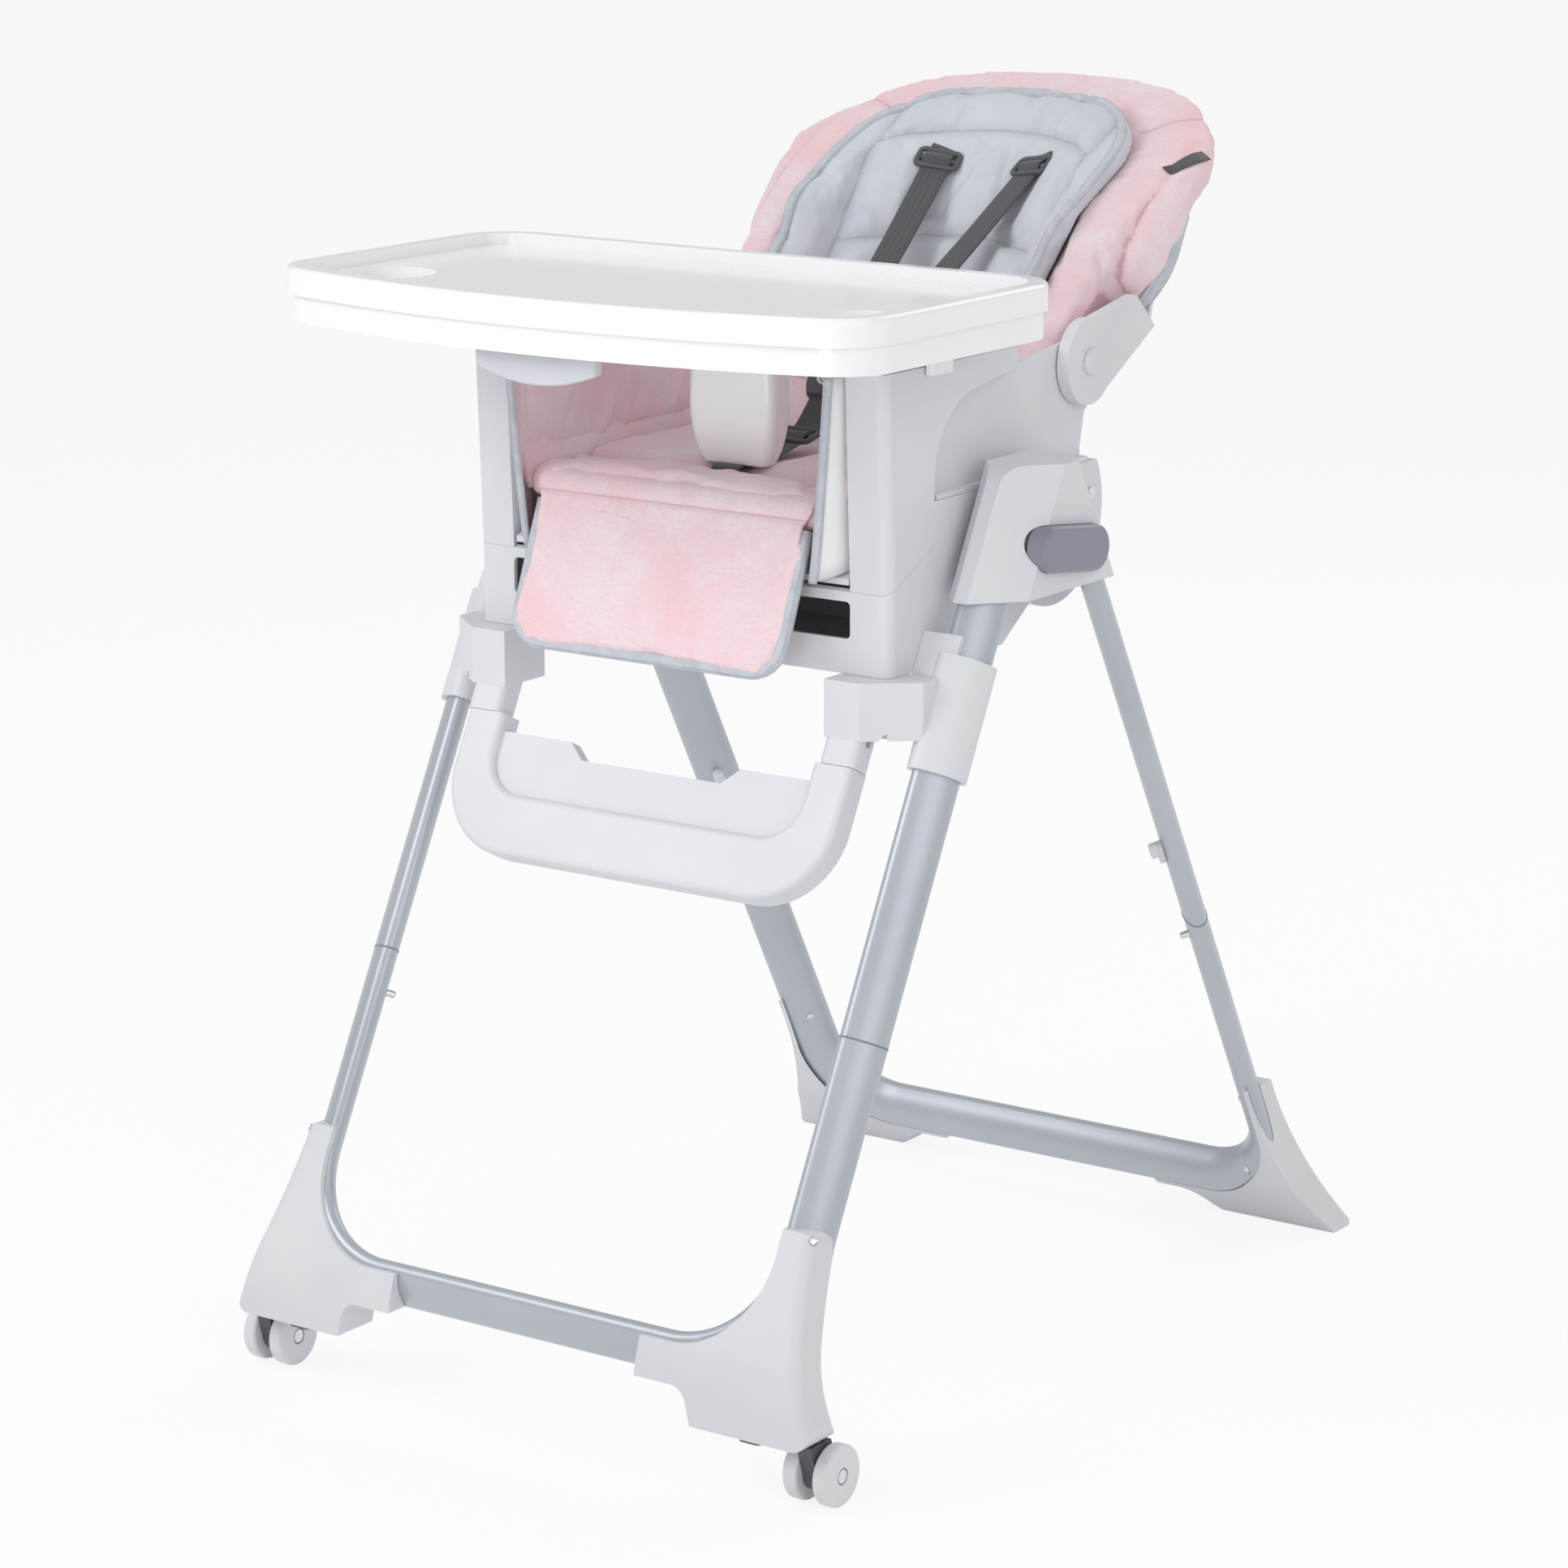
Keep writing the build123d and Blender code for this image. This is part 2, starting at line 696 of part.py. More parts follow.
# Rubber stops under the front feet
with BuildPart() as foot_stop:
    with BuildSketch(Plane.XY.offset(front_foot_bottom - 6.0)):
        with Locations((front_foot_inner + 50.0, (front_foot_front + front_foot_back) / 2)):
            RectangleRounded(22.0, 26.0, 5.0)
    extrude(amount=6.0)
save_both(foot_stop.part, "foot_stops")

# Tray pegs on the rear legs
peg_along = rear.along(398.0)
peg_root = rear.at(leg_x, peg_along) - rear.minor * (tube_minor / 2 + 0.05)
peg_plane = Plane(peg_root, x_dir=rear.up, z_dir=-rear.minor)
with BuildPart() as tray_peg:
    with BuildSketch(peg_plane):
        SlotOverall(22.0, 11.0)
    extrude(amount=5.0)
    with BuildSketch(peg_plane.offset(5.0)):
        with Locations((4.0, 0)):
            SlotOverall(15.0, 9.0)
    extrude(amount=6.0)
    fillet(tray_peg.faces().sort_by(lambda f: f.center().dot(-rear.minor))[-1].edges(), 2.0)
save_both(tray_peg.part, "tray_pegs")

# Carriages
socket_plane = Plane(front.at(socket_x, socket_seam, socket_ahead), x_dir=(1, 0, 0), z_dir=front.up)
socket_mid = front.at(0, socket_seam, socket_ahead)
socket_back = socket_mid.Y + (seat_bottom - socket_mid.Z) * tan(radians(front_lean))
with BuildPart() as carriage:
    with BuildSketch(front.section(front.along(collar_bottom_z))):
        tube_oval(slide_gap + collar_wall)
    extrude(amount=front.along(collar_top_z) - front.along(collar_bottom_z), dir=front.up)
    # Web against the side of the seat
    with BuildSketch(Plane(front.at(0, front.along(web_bottom_z)), x_dir=(1, 0, 0), z_dir=front.up)):
        with Locations(((seat_half + seat_gap + leg_x) / 2, (web_behind - web_ahead) / 2)):
            Rectangle(leg_x - seat_half - seat_gap, web_ahead + web_behind)
    extrude(amount=front.along(web_top_z) - front.along(web_bottom_z))
    # Shoulder under the corner of the seat
    with BuildSketch(Plane.XY.offset(web_bottom_z)):
        with BuildLine():
            reach = socket_depth / 2 / front.rise
            shoulder_y = socket_mid.Y + (web_bottom_z - socket_mid.Z) * tan(radians(front_lean))
            Polyline(
                (socket_x - socket_width / 2, shoulder_y - reach),
                (socket_x + socket_width / 2, shoulder_y - reach),
                (leg_x - 8.0, front.y(web_bottom_z) - 22.0),
                (leg_x - 8.0, front.y(web_bottom_z) + 12.0),
                (seat_half, socket_back + reach),
                (socket_x - socket_width / 2, socket_back + reach),
                close=True,
            )
        make_face()
    extrude(amount=seat_bottom - seat_gap - web_bottom_z)
    with BuildSketch(socket_plane):
        RectangleRounded(socket_width, socket_depth, 7.0)
    extrude(amount=socket_length)
    # Bores for the leg and the footrest, with the release holes
    with BuildSketch(front.section(front.along(collar_bottom_z) - 40.0)):
        tube_oval(slide_gap)
    collar_run = front.along(web_top_z) - front.along(collar_bottom_z) + 80.0
    extrude(amount=collar_run, dir=front.up, mode=Mode.SUBTRACT)
    with BuildSketch(socket_plane):
        RectangleRounded(stub_width + 2 * slide_gap, stub_depth + 2 * slide_gap, 4.0)
    extrude(amount=socket_length - 4.0, mode=Mode.SUBTRACT)
    release_mid = front.at(socket_x, socket_seam + release_rise, socket_ahead)
    release_plane = Plane(release_mid, x_dir=front.up, z_dir=(1, 0, 0))
    with BuildSketch(release_plane):
        Circle(release_radius + slide_gap)
        with Locations((-release_step, 0)):
            SlotOverall(release_radius * 2.0, release_radius * 1.3)
    extrude(amount=socket_width, mode=Mode.SUBTRACT)
save_pair(carriage.part, "carriage")

# Release buttons in the sockets
with BuildPart() as release:
    with BuildSketch(release_plane.offset(stub_width / 2 - 4.0)):
        Circle(release_radius)
    extrude(amount=socket_width / 2 - stub_width / 2 + 4.0 + release_stand)
    fillet(release.faces().sort_by(Axis.X)[-1].edges(), 1.0)
save_pair(release.part, "footrest_button")

# Seat base: the moulded housing under the seat, with a rounded back and a window in front
with BuildPart() as seat_base:
    with BuildSketch(Plane.YZ) as base_side:
        with BuildLine():
            drum_low = (drum_y - drum_radius * 0.45, drum_z - drum_radius * sqrt(1 - 0.45**2))
            drum_high = (drum_y + sqrt(drum_radius**2 - (seat_ledge - drum_z) ** 2), seat_ledge)
            Polyline(
                drum_high,
                (post_back, seat_ledge),
                (post_back, post_seam_back),
                (seat_front, post_seam_front),
                (seat_front, seat_bottom),
                (drum_y - drum_radius, seat_bottom),
                drum_low,
            )
            ThreePointArc(drum_low, (drum_y + drum_radius, drum_z), drum_high)
        make_face()
    extrude(amount=seat_half, both=True)
    upright = seat_base.edges().filter_by(Axis.Z)
    fillet(upright.filter_by(lambda e: abs(e.center().Y - seat_front) < 1.0), arm_round)
    # Hollow, open on top
    with BuildSketch(Plane.YZ):
        with BuildLine():
            room = drum_radius - base_wall
            room_low = (drum_y - room * 0.45, drum_z - room * sqrt(1 - 0.45**2))
            room_high = (drum_y + sqrt(room**2 - (seat_ledge - drum_z) ** 2), seat_ledge)
            Polyline(
                room_high,
                (room_high[0], seat_ledge + drum_radius),
                (seat_front + base_wall, seat_ledge + drum_radius),
                (seat_front + base_wall, seat_bottom + base_wall),
                (drum_y - room, seat_bottom + base_wall),
                room_low,
            )
            ThreePointArc(room_low, (drum_y + room, drum_z), room_high)
        make_face()
    extrude(amount=seat_half - base_wall, both=True, mode=Mode.SUBTRACT)
    with BuildSketch(Plane.XZ.offset(-seat_front - base_wall - 1.0)):
        with Locations((0, (window_low + window_high) / 2)):
            RectangleRounded(2 * window_half, window_high - window_low, 4.0)
    extrude(amount=base_wall * 3, mode=Mode.SUBTRACT)
save(seat_base.part, "seat_base")

# Seat bucket: pan, side walls and the lugs of the backrest
with BuildPart() as bucket:
    with BuildSketch(Plane.YZ):
        with BuildLine():
            Polyline(
                (post_back + base_wall + seat_gap, bucket_floor),
                (post_back + base_wall + seat_gap, bucket_top - 6.0),
                (arm_back - 6.0, bucket_top),
                (bucket_back - 22.0, bucket_top - 14.0),
                (bucket_back - base_wall - seat_gap, bucket_top - 44.0),
                (bucket_back - base_wall - seat_gap, bucket_floor),
                close=True,
            )
        make_face()
    extrude(amount=bucket_half, both=True)
    with BuildSketch(Plane.YZ):
        with BuildLine():
            Polyline(
                (seat_front - 50.0, bucket_floor + bucket_wall),
                (seat_front - 50.0, arm_top),
                (bucket_back - base_wall - seat_gap - bucket_wall, arm_top),
                (bucket_back - base_wall - seat_gap - bucket_wall, bucket_floor + bucket_wall),
                close=True,
            )
        make_face()
    extrude(amount=bucket_half - bucket_wall, both=True, mode=Mode.SUBTRACT)
    # Rear wall lowered for the back
    with BuildSketch(Plane.XZ.offset(-bucket_back)):
        with Locations((0, seat_ledge + 100.0)):
            Rectangle(2 * (bucket_half - bucket_wall), 200.0)
    extrude(amount=20.0, both=True, mode=Mode.SUBTRACT)
    # Flange that rests on the ledge of the base
    for end in (-1, 1):
        with BuildSketch(Plane.XY.offset(seat_ledge + seat_gap)):
            mid_y = (post_back + base_wall + seat_gap + bucket_back - base_wall - seat_gap) / 2
            with Locations((end * (bucket_half + seat_half - 1.0) / 2, mid_y)):
                flange_length = bucket_back - post_back - 2 * base_wall - 2 * seat_gap
                Rectangle(seat_half - bucket_half - 1.0, flange_length)
        extrude(amount=base_wall)
    # Front lip of the pan over the front of the base
    with BuildSketch(Plane.YZ):
        with BuildLine():
            Polyline(
                (seat_front + 1.0, post_seam_front + base_wall + 1.0),
                (post_back, post_seam_back + base_wall + 1.0),
                (post_back + base_wall + 3.0, bucket_floor),
                (post_back + base_wall + 3.0, bucket_floor + bucket_wall),
                (seat_front + 1.0, post_seam_front + base_wall + bucket_wall + 1.0),
                close=True,
            )
        make_face()
    extrude(amount=arm_inner - 2.0, both=True)
    # Lugs for the pivots of the back
    for end in (-1, 1):
        with BuildSketch(Plane.YZ.offset(end * bucket_half)):
            with Locations((back_pivot_y, back_pivot_z)):
                Circle(22.0)
            with BuildLine():
                Polyline(
                    (back_pivot_y, back_pivot_z + 20.0),
                    (arm_back - 10.0, bucket_top),
                    (arm_back - 10.0, seat_ledge + base_wall + 8.0),
                    (bucket_back - base_wall - seat_gap, seat_ledge + base_wall + 8.0),
                    (back_pivot_y + 20.0, back_pivot_z),
                    close=True,
                )
            make_face()
            with Locations((back_pivot_y, back_pivot_z)):
                Circle(back_pin_radius + pin_gap, mode=Mode.SUBTRACT)
        extrude(amount=-end * bucket_wall)
save(bucket.part, "seat_bucket")

seam_slope = (post_seam_back - post_seam_front) / (post_back - seat_front)

# Arms: front post, curved gusset over the bucket wall, and a flat top rail for the tray
with BuildPart() as arm:
    with BuildSketch(Plane.YZ.offset(bucket_half + 2.0)):
        with BuildLine():
            Polyline(
                (arm_back, bucket_top + 3.0),
                (arm_back, arm_top),
                (seat_front - arm_front_lean, arm_top),
                (seat_front, post_seam_front + seat_gap),
                (post_back, post_seam_back + seat_gap),
                (post_back, arm_top - 93.0),
            )
            ThreePointArc(
                (post_back, arm_top - 93.0),
                (post_back + 25.0, arm_top - 40.0),
                (post_back + 62.0, arm_top - 25.0),
            )
            Line((post_back + 62.0, arm_top - 25.0), (arm_back, bucket_top + 3.0))
        make_face()
    extrude(amount=seat_half - bucket_half - 2.0)
    with BuildSketch(Plane.YZ.offset(arm_inner)):
        with BuildLine():
            Polyline(
                (seat_front, post_seam_front + seat_gap),
                (seat_front - arm_front_lean, arm_top),
                (arm_back, arm_top),
                (arm_back, bucket_top + 3.0),
                (post_back - 2.0, bucket_top + 3.0),
                (post_back - 2.0, post_seam_back + seat_gap - 2.0 * seam_slope),
                close=True,
            )
        make_face()
    extrude(amount=bucket_half + 2.0 - arm_inner)
    corner = arm.edges().filter_by(lambda e: e.center().Y < seat_front + 1.0 and e.length > 100.0)
    fillet(corner.sort_by(Axis.X)[-1], arm_round)
    # Hollow post, open below
    with BuildSketch(Plane.XY.offset(post_seam_front - 10.0)):
        with Locations(((arm_inner + seat_half) / 2, (seat_front + post_back) / 2)):
            post_room = post_back - seat_front - 3 * base_wall
            RectangleRounded(seat_half - arm_inner - 2 * base_wall, post_room, 4.0)
    extrude(amount=arm_top - post_seam_front - 4.0, mode=Mode.SUBTRACT)
save_pair(arm.part, "arm")

# Seat cushion: crowned, with drawn-in sides and a sewn channel behind the front roll
cushion_z = bucket_floor + bucket_wall + seat_gap
cushion_mid = (cushion_front + cushion_back) / 2
with BuildPart() as cushion:
    for rise, pull in ((0, 10.0), (0.35, 0), (0.7, 1.5), (1.0, 22.0)):
        with BuildSketch(Plane.XY.offset(cushion_z + rise * cushion_thick)):
            with Locations((0, cushion_mid)):
                RectangleRounded(2 * (cushion_half - pull), cushion_back - cushion_front - 2 * pull, 24.0)
    loft()
    with BuildSketch(Plane.YZ):
        with Locations((strap_seat_y, cushion_z + cushion_thick + 3.0)):
            Circle(8.0)
    extrude(amount=cushion_half, both=True, mode=Mode.SUBTRACT)
save(cushion.part, "seat_cushion")

# Side pads inside the arms
with BuildPart() as side_pad:
    with BuildSketch(Plane.YZ.offset(arm_inner - seat_gap - side_pad_thick)):
        with BuildLine():
            FilletPolyline(
                (seat_front + 2.0, cushion_z + cushion_thick + 2.0),
                (seat_front - 2.0, side_pad_top),
                (arm_back, side_pad_top),
                (bucket_back - 20.0, bucket_top - 50.0),
                (bucket_back - 20.0, cushion_z + cushion_thick + 2.0),
                radius=14.0,
                close=True,
            )
        make_face()
    extrude(amount=side_pad_thick)
    with BuildSketch(Plane.YZ.offset(arm_inner - seat_gap - side_pad_thick)):
        with BuildLine():
            FilletPolyline(
                (post_back + 10.0, cushion_z + cushion_thick + 2.0),
                (post_back + 10.0, side_pad_top - 14.0),
                (arm_back, side_pad_top - 14.0),
                (bucket_back - 20.0, bucket_top - 50.0),
                (bucket_back - 20.0, cushion_z + cushion_thick + 2.0),
                radius=14.0,
                close=True,
            )
        make_face()
    extrude(amount=bucket_half - bucket_wall - seat_gap - arm_inner + seat_gap + side_pad_thick)
    fillet(side_pad.faces().sort_by(Axis.X)[0].edges(), 3.0)
save_both(side_pad.part, "side_pads")

# Leg flap hanging in front of the seat
flap_tilt = radians(flap_lean)
flap_top_y = seat_front - flap_thick / 2 - 1.0
flap_up = Vector(0, sin(flap_tilt), cos(flap_tilt))
flap_mid = Vector(0, flap_top_y, cushion_z + 4.3) - flap_up * (flap_length / 2)
flap_plane = Plane(flap_mid, x_dir=(1, 0, 0), z_dir=(0, -cos(flap_tilt), sin(flap_tilt)))
with BuildPart() as flap:
    for lift, pull in ((-0.5, 4.0), (-0.2, 0), (0.2, 0), (0.5, 5.0)):
        with BuildSketch(flap_plane.offset(lift * flap_thick)):
            RectangleRounded(2 * (flap_half - pull), flap_length - 2 * pull, flap_round - pull)
    loft()
save(flap.part, "leg_flap")

# Harness on the seat: crotch strap, adjuster, buckle and its button
strap_start = (0, strap_seat_y + 10.0, cushion_z + cushion_thick + seat_gap)
with BuildPart() as crotch_strap:
    with BuildLine(Plane.YZ) as strap_run:
        FilletPolyline(
            (strap_start[1], strap_start[2] + strap_thick / 2),
            (strap_start[1] + 30.0, strap_start[2] + strap_thick / 2),
            (strap_start[1] + 95.0, strap_start[2] + 16.0),
            (strap_start[1] + 122.0, strap_start[2] + 40.0),
            radius=28.0,
        )
    strap_end = strap_run.line @ 0
    with BuildSketch(Plane(strap_end, x_dir=(1, 0, 0), z_dir=strap_run.line % 0)):
        Rectangle(strap_width, strap_thick)
    sweep(path=strap_run.line)
save(crotch_strap.part, "crotch_strap")

buckle_low = strap_run.line @ 1
buckle_dir = strap_run.line % 1
buckle_plane = Plane(buckle_low + buckle_dir * seat_gap, x_dir=(1, 0, 0), z_dir=buckle_dir)
with BuildPart() as buckle:
    for lift, wide, deep in ((0, 34.0, 11.0), (18.0, 46.0, 16.0), (38.0, 40.0, 13.0)):
        with BuildSketch(buckle_plane.offset(lift)):
            RectangleRounded(wide, deep, 4.0)
    loft()
    button_out = Vector(1, 0, 0).cross(buckle_dir)
    button_face = Plane(buckle_plane.origin + buckle_dir * 19.0, x_dir=(1, 0, 0), z_dir=button_out)
    with BuildSketch(button_face.offset(3.0)):
        Circle(9.0 + slide_gap)
    extrude(amount=12.0, mode=Mode.SUBTRACT)
save(buckle.part, "buckle")
with BuildPart() as buckle_button:
    with BuildSketch(button_face.offset(5.0)):
        Circle(9.0)
    extrude(amount=5.0)
    fillet(buckle_button.faces().sort_by(lambda f: f.center().dot(button_face.z_dir))[-1].edges(), 1.2)
save(buckle_button.part, "buckle_button")

adjust_at = strap_run.line @ 0.62
adjust_dir = strap_run.line % 0.62
with BuildPart() as adjuster:
    adjust_plane = Plane(adjust_at, x_dir=(1, 0, 0), z_dir=Vector(1, 0, 0).cross(adjust_dir))
    with BuildSketch(adjust_plane.offset(-3.5)):
        RectangleRounded(strap_width + 10.0, 22.0, 3.0)
    extrude(amount=7.0)
    with BuildSketch(Plane(adjust_at, x_dir=(1, 0, 0), z_dir=adjust_dir)):
        Rectangle(strap_width + 2 * seat_gap, strap_thick + 2 * seat_gap + 0.6)
    extrude(amount=30.0, both=True, mode=Mode.SUBTRACT)
save(adjuster.part, "strap_adjuster")

# Backrest
back_tilt = radians(back_lean)
back_up = Vector(0, sin(back_tilt), cos(back_tilt))
back_face = Vector(0, -cos(back_tilt), sin(back_tilt))
back_pivot = Vector(0, back_pivot_y, back_pivot_z)
back_plane = Plane(back_pivot, x_dir=(1, 0, 0), z_dir=back_face)


def back_band(front_n, back_n, low, high):
    # A slab bent round an axis along the back, between two depths at the middle
    centre = pad_sag + pad_curve
    reach = radians(18.0)
    tips = [((centre - n) * sin(reach), (centre - n) * cos(reach) - centre) for n in (front_n, back_n)]
    with BuildSketch(Plane(back_pivot + back_up * low, x_dir=(1, 0, 0), z_dir=back_up)) as band:
        with BuildLine() as outline:
            for depth, tip in zip((front_n, back_n), tips):
                ThreePointArc((-tip[0], tip[1]), (0, -depth), tip)
            Line(tips[0], tips[1])
            Line((-tips[0][0], tips[0][1]), (-tips[1][0], tips[1][1]))
        make_face(outline.edges())
    extrude(band.sketch, amount=high - low)


def back_outline(low, low_half, half, high, shoulder_drop, crown_in, crown_drop):
    # Front outline of a piece of the back: straight sides, a step above the arms and a rounded head
    shoulder = (half, high - shoulder_drop)
    crown = (half - crown_in, high - crown_drop)
    bulge = 0.14
    corner_x = half - crown_in / 2 + bulge * (shoulder_drop - crown_drop)
    corner = (corner_x, high - (shoulder_drop + crown_drop) / 2 + bulge * crown_in)
    with BuildLine() as outline:
        Polyline((-low_half, low), (low_half, low), (low_half, pad_flare), (half, pad_flare + 40.0), shoulder)
        ThreePointArc(shoulder, corner, crown)
        ThreePointArc(crown, (0, high), (-crown[0], crown[1]))
        ThreePointArc((-crown[0], crown[1]), (-corner[0], corner[1]), (-half, shoulder[1]))
        Polyline((-half, shoulder[1]), (-half, pad_flare + 40.0), (-low_half, pad_flare), (-low_half, low))
    make_face(outline.edges())


# Back pad: dished in front between two rolled bolsters, whose outer sides fall away to the rim
back_side = Plane(back_pivot, x_dir=back_up, z_dir=(1, 0, 0))
dish_centre = pad_sag + dish_radius
dish_edge = dish_centre - sqrt(dish_radius**2 - bolster_x**2)
bolster_turn = asin(bolster_x / dish_radius)
bolster_out = bolster_x + bolster_width
rim_x = pad_half + 6.0
rim_n = dish_edge - (rim_x - bolster_out) * tan(bolster_turn)


def pad_rear(x):
    # Depth of the rear face of the pad, beside the middle
    return pad_sag + pad_curve - sqrt((pad_curve + pad_thick) ** 2 - x**2)


rear_n = pad_rear(rim_x)


def depth(edge):
    # Distance of an edge in front of the pivot, square to the back
    return (edge.center() - back_pivot).dot(back_face)


def head_profile(raise_by):
    # Side view of the back: everything behind the crests of the bolsters and the slope of the head
    crest = 18.0 + raise_by
    run = pad_top + 30.0 - head_start
    deep = pad_sag - pad_thick - 90.0
    with BuildLine() as outline:
        FilletPolyline(
            (pad_bottom - 30.0, crest),
            (head_start, crest),
            (head_start + run, crest - run * tan(radians(head_slope))),
            radius=220.0,
        )
        Polyline(
            (head_start + run, crest - run * tan(radians(head_slope))),
            (head_start + run, deep),
            (pad_bottom - 30.0, deep),
            (pad_bottom - 30.0, crest),
        )
    make_face(outline.edges())


with BuildPart() as back_pad:
    with BuildSketch(Plane(back_pivot + back_up * (pad_bottom - 20.0), x_dir=(1, 0, 0), z_dir=back_up)):
        with BuildLine():
            ThreePointArc((-bolster_x, -dish_edge), (0, -pad_sag), (bolster_x, -dish_edge))
            for end in (-1, 1):
                away = (end * cos(bolster_turn), -sin(bolster_turn))
                TangentArc((end * bolster_x, -dish_edge), (end * bolster_out, -dish_edge), tangent=away)
                Polyline((end * bolster_out, -dish_edge), (end * rim_x, -rim_n), (end * rim_x, -rear_n))
            ThreePointArc((-rim_x, -rear_n), (0, pad_thick - pad_sag), (rim_x, -rear_n))
        make_face()
    extrude(amount=pad_top - pad_bottom + 40.0)
    with BuildSketch(back_side):
        head_profile(0)
    extrude(amount=pad_half + 20.0, both=True, mode=Mode.INTERSECT)
    with BuildSketch(back_plane.offset(-200.0)):
        back_outline(pad_bottom, pad_low_half, pad_half, pad_top, 131.0, 111.0, 12.0)
    extrude(amount=300.0, mode=Mode.INTERSECT)
    across = Axis(back_pivot, back_face)
    fillet(back_pad.edges().filter_by(across), 8.0)
    rim_faces = back_pad.faces().filter_by(lambda f: abs(f.normal_at().dot(back_face)) < 0.02)
    rim = rim_faces.edges().filter_by(across, reverse=True)
    fillet(rim.filter_by(lambda e: depth(e) > pad_rear(e.center().X) + 3.0), 2.8)
    fillet(back_pad.faces().sort_by(lambda f: f.center().dot(back_face))[0].edges(), 2.8)
save(back_pad.part, "back_pad")

# Back insert: the second cushion, of even thickness over the dish and the slope of the head
def dished_block(raise_by):
    # Everything behind the front of the pad, when that is raised by one distance
    foot = back_pivot + back_up * (insert_bottom - 20.0)
    with BuildSketch(Plane(foot, x_dir=(1, 0, 0), z_dir=back_up)) as block:
        with Locations((0, pad_thick - pad_sag - dish_radius / 2)):
            Rectangle(2 * bolster_x, dish_radius)
        with Locations((0, -dish_centre)):
            Circle(dish_radius - raise_by, mode=Mode.SUBTRACT)
    extrude(block.sketch, amount=insert_top - insert_bottom + 40.0)
    with BuildSketch(back_side) as slope:
        head_profile(raise_by)
    extrude(slope.sketch, amount=pad_half, both=True, mode=Mode.INTERSECT)


with BuildPart() as insert_bed:
    dished_block(seat_gap)
with BuildPart() as back_insert:
    dished_block(seat_gap + insert_thick)
    add(insert_bed.part, mode=Mode.SUBTRACT)
    with BuildSketch(back_plane.offset(pad_sag - 20.0)):
        back_outline(insert_bottom, insert_half - 6.0, insert_half, insert_top, 104.0, 52.0, 12.0)
    extrude(amount=dish_radius - 40.0, mode=Mode.INTERSECT)
    fillet(back_insert.edges().filter_by(across), 6.0)
save(back_insert.part, "back_insert")

# Back shell with the ears that swing on the pivots
shell_n = pad_sag - pad_thick - seat_gap
with BuildPart() as back_shell:
    back_band(shell_n, shell_n - shell_thick, shell_bottom - 20.0, shell_top + 20.0)
    with BuildSketch(back_plane.offset(-200.0)):
        back_outline(shell_bottom, ear_outer - 3.0, shell_half, shell_top, 118.0, 108.0, 10.0)
    extrude(amount=300.0, mode=Mode.INTERSECT)
    for end in (-1, 1):
        with BuildSketch(back_side.offset(end * ear_inner)):
            Circle(ear_radius)
            with BuildLine():
                Polyline((10.0, 34.0), (84.0, -20.0), (84.0, -62.0), (-20.0, -30.0), close=True)
            make_face()
            Circle(back_pin_radius + pin_gap, mode=Mode.SUBTRACT)
        extrude(amount=end * (ear_outer - ear_inner))
    # Brackets of the recline handle
    for end in (-1, 1):
        with BuildSketch(back_side.offset(end * (handle_half + slide_gap))):
            with BuildLine():
                lug_top = shell_n - shell_thick + 2.0
                Polyline(
                    (handle_t - 16.0, lug_top),
                    (handle_t + 16.0, lug_top),
                    (handle_t + 8.0, handle_n - 8.0),
                    (handle_t - 8.0, handle_n - 8.0),
                    close=True,
                )
            make_face()
            with Locations((handle_t, handle_n)):
                Circle(handle_pin + pin_gap, mode=Mode.SUBTRACT)
        extrude(amount=end * 5.0)
save(back_shell.part, "back_shell")

# Recline handle behind the shell
with BuildPart() as handle:
    with BuildSketch(back_side.offset(-handle_half)):
        with BuildLine():
            FilletPolyline(
                (handle_t + 9.0, handle_n + 4.0),
                (handle_t + 9.0, handle_n - 5.0),
                (handle_t - 34.0, handle_n - 13.0),
                (handle_t - 40.0, handle_n - 9.0),
                (handle_t - 36.0, handle_n - 3.0),
                (handle_t - 8.0, handle_n + 4.0),
                radius=2.0,
                close=True,
            )
        make_face()
    extrude(amount=2 * handle_half)
    with BuildSketch(back_side.offset(-handle_half - 5.0)):
        with Locations((handle_t, handle_n)):
            Circle(handle_pin)
    extrude(amount=2 * handle_half + 10.0)
save(handle.part, "recline_handle")

# Pivot pins of the back
with BuildPart() as back_pin:
    with BuildSketch(Plane.YZ.offset(bucket_half - bucket_wall - 2.0)):
        with Locations((back_pivot_y, back_pivot_z)):
            Circle(back_pin_radius)
    extrude(amount=ear_outer + seat_gap - bucket_half + bucket_wall + 2.0)
    with BuildSketch(Plane.YZ.offset(ear_outer + seat_gap)):
        with Locations((back_pivot_y, back_pivot_z)):
            Circle(back_pin_radius + 5.0)
    extrude(amount=3.0)
    fillet(back_pin.faces().sort_by(Axis.X)[-1].edges(), 2.0)
save_both(back_pin.part, "back_pivot_pins")

# Shoulder straps: from slots in the insert, straight towards the buckle
strap_turn = asin(strap_x / (dish_radius - insert_thick))
strap_n = dish_centre - (dish_radius - seat_gap - insert_thick) * cos(strap_turn)
strap_wide = Vector(cos(strap_turn), 0, 0) + back_face * sin(strap_turn)
strap_slot = back_pivot + Vector(strap_x, 0, 0) + back_up * strap_top
strap_head = strap_slot + back_face * (strap_n + strap_thick + 1.0)
strap_aim = buckle_plane.origin + Vector(15.0, 10.0, 14.0)
strap_dir = (strap_aim - strap_head).normalized()
strap_face = strap_wide.cross(strap_dir).normalized()
strap_plane = Plane(strap_head, x_dir=strap_dir, z_dir=-strap_face)
with BuildPart() as shoulder_strap:
    with BuildSketch(strap_plane):
        with Locations((strap_drop / 2, 0)):
            Rectangle(strap_drop, strap_width)
    extrude(amount=-strap_thick)
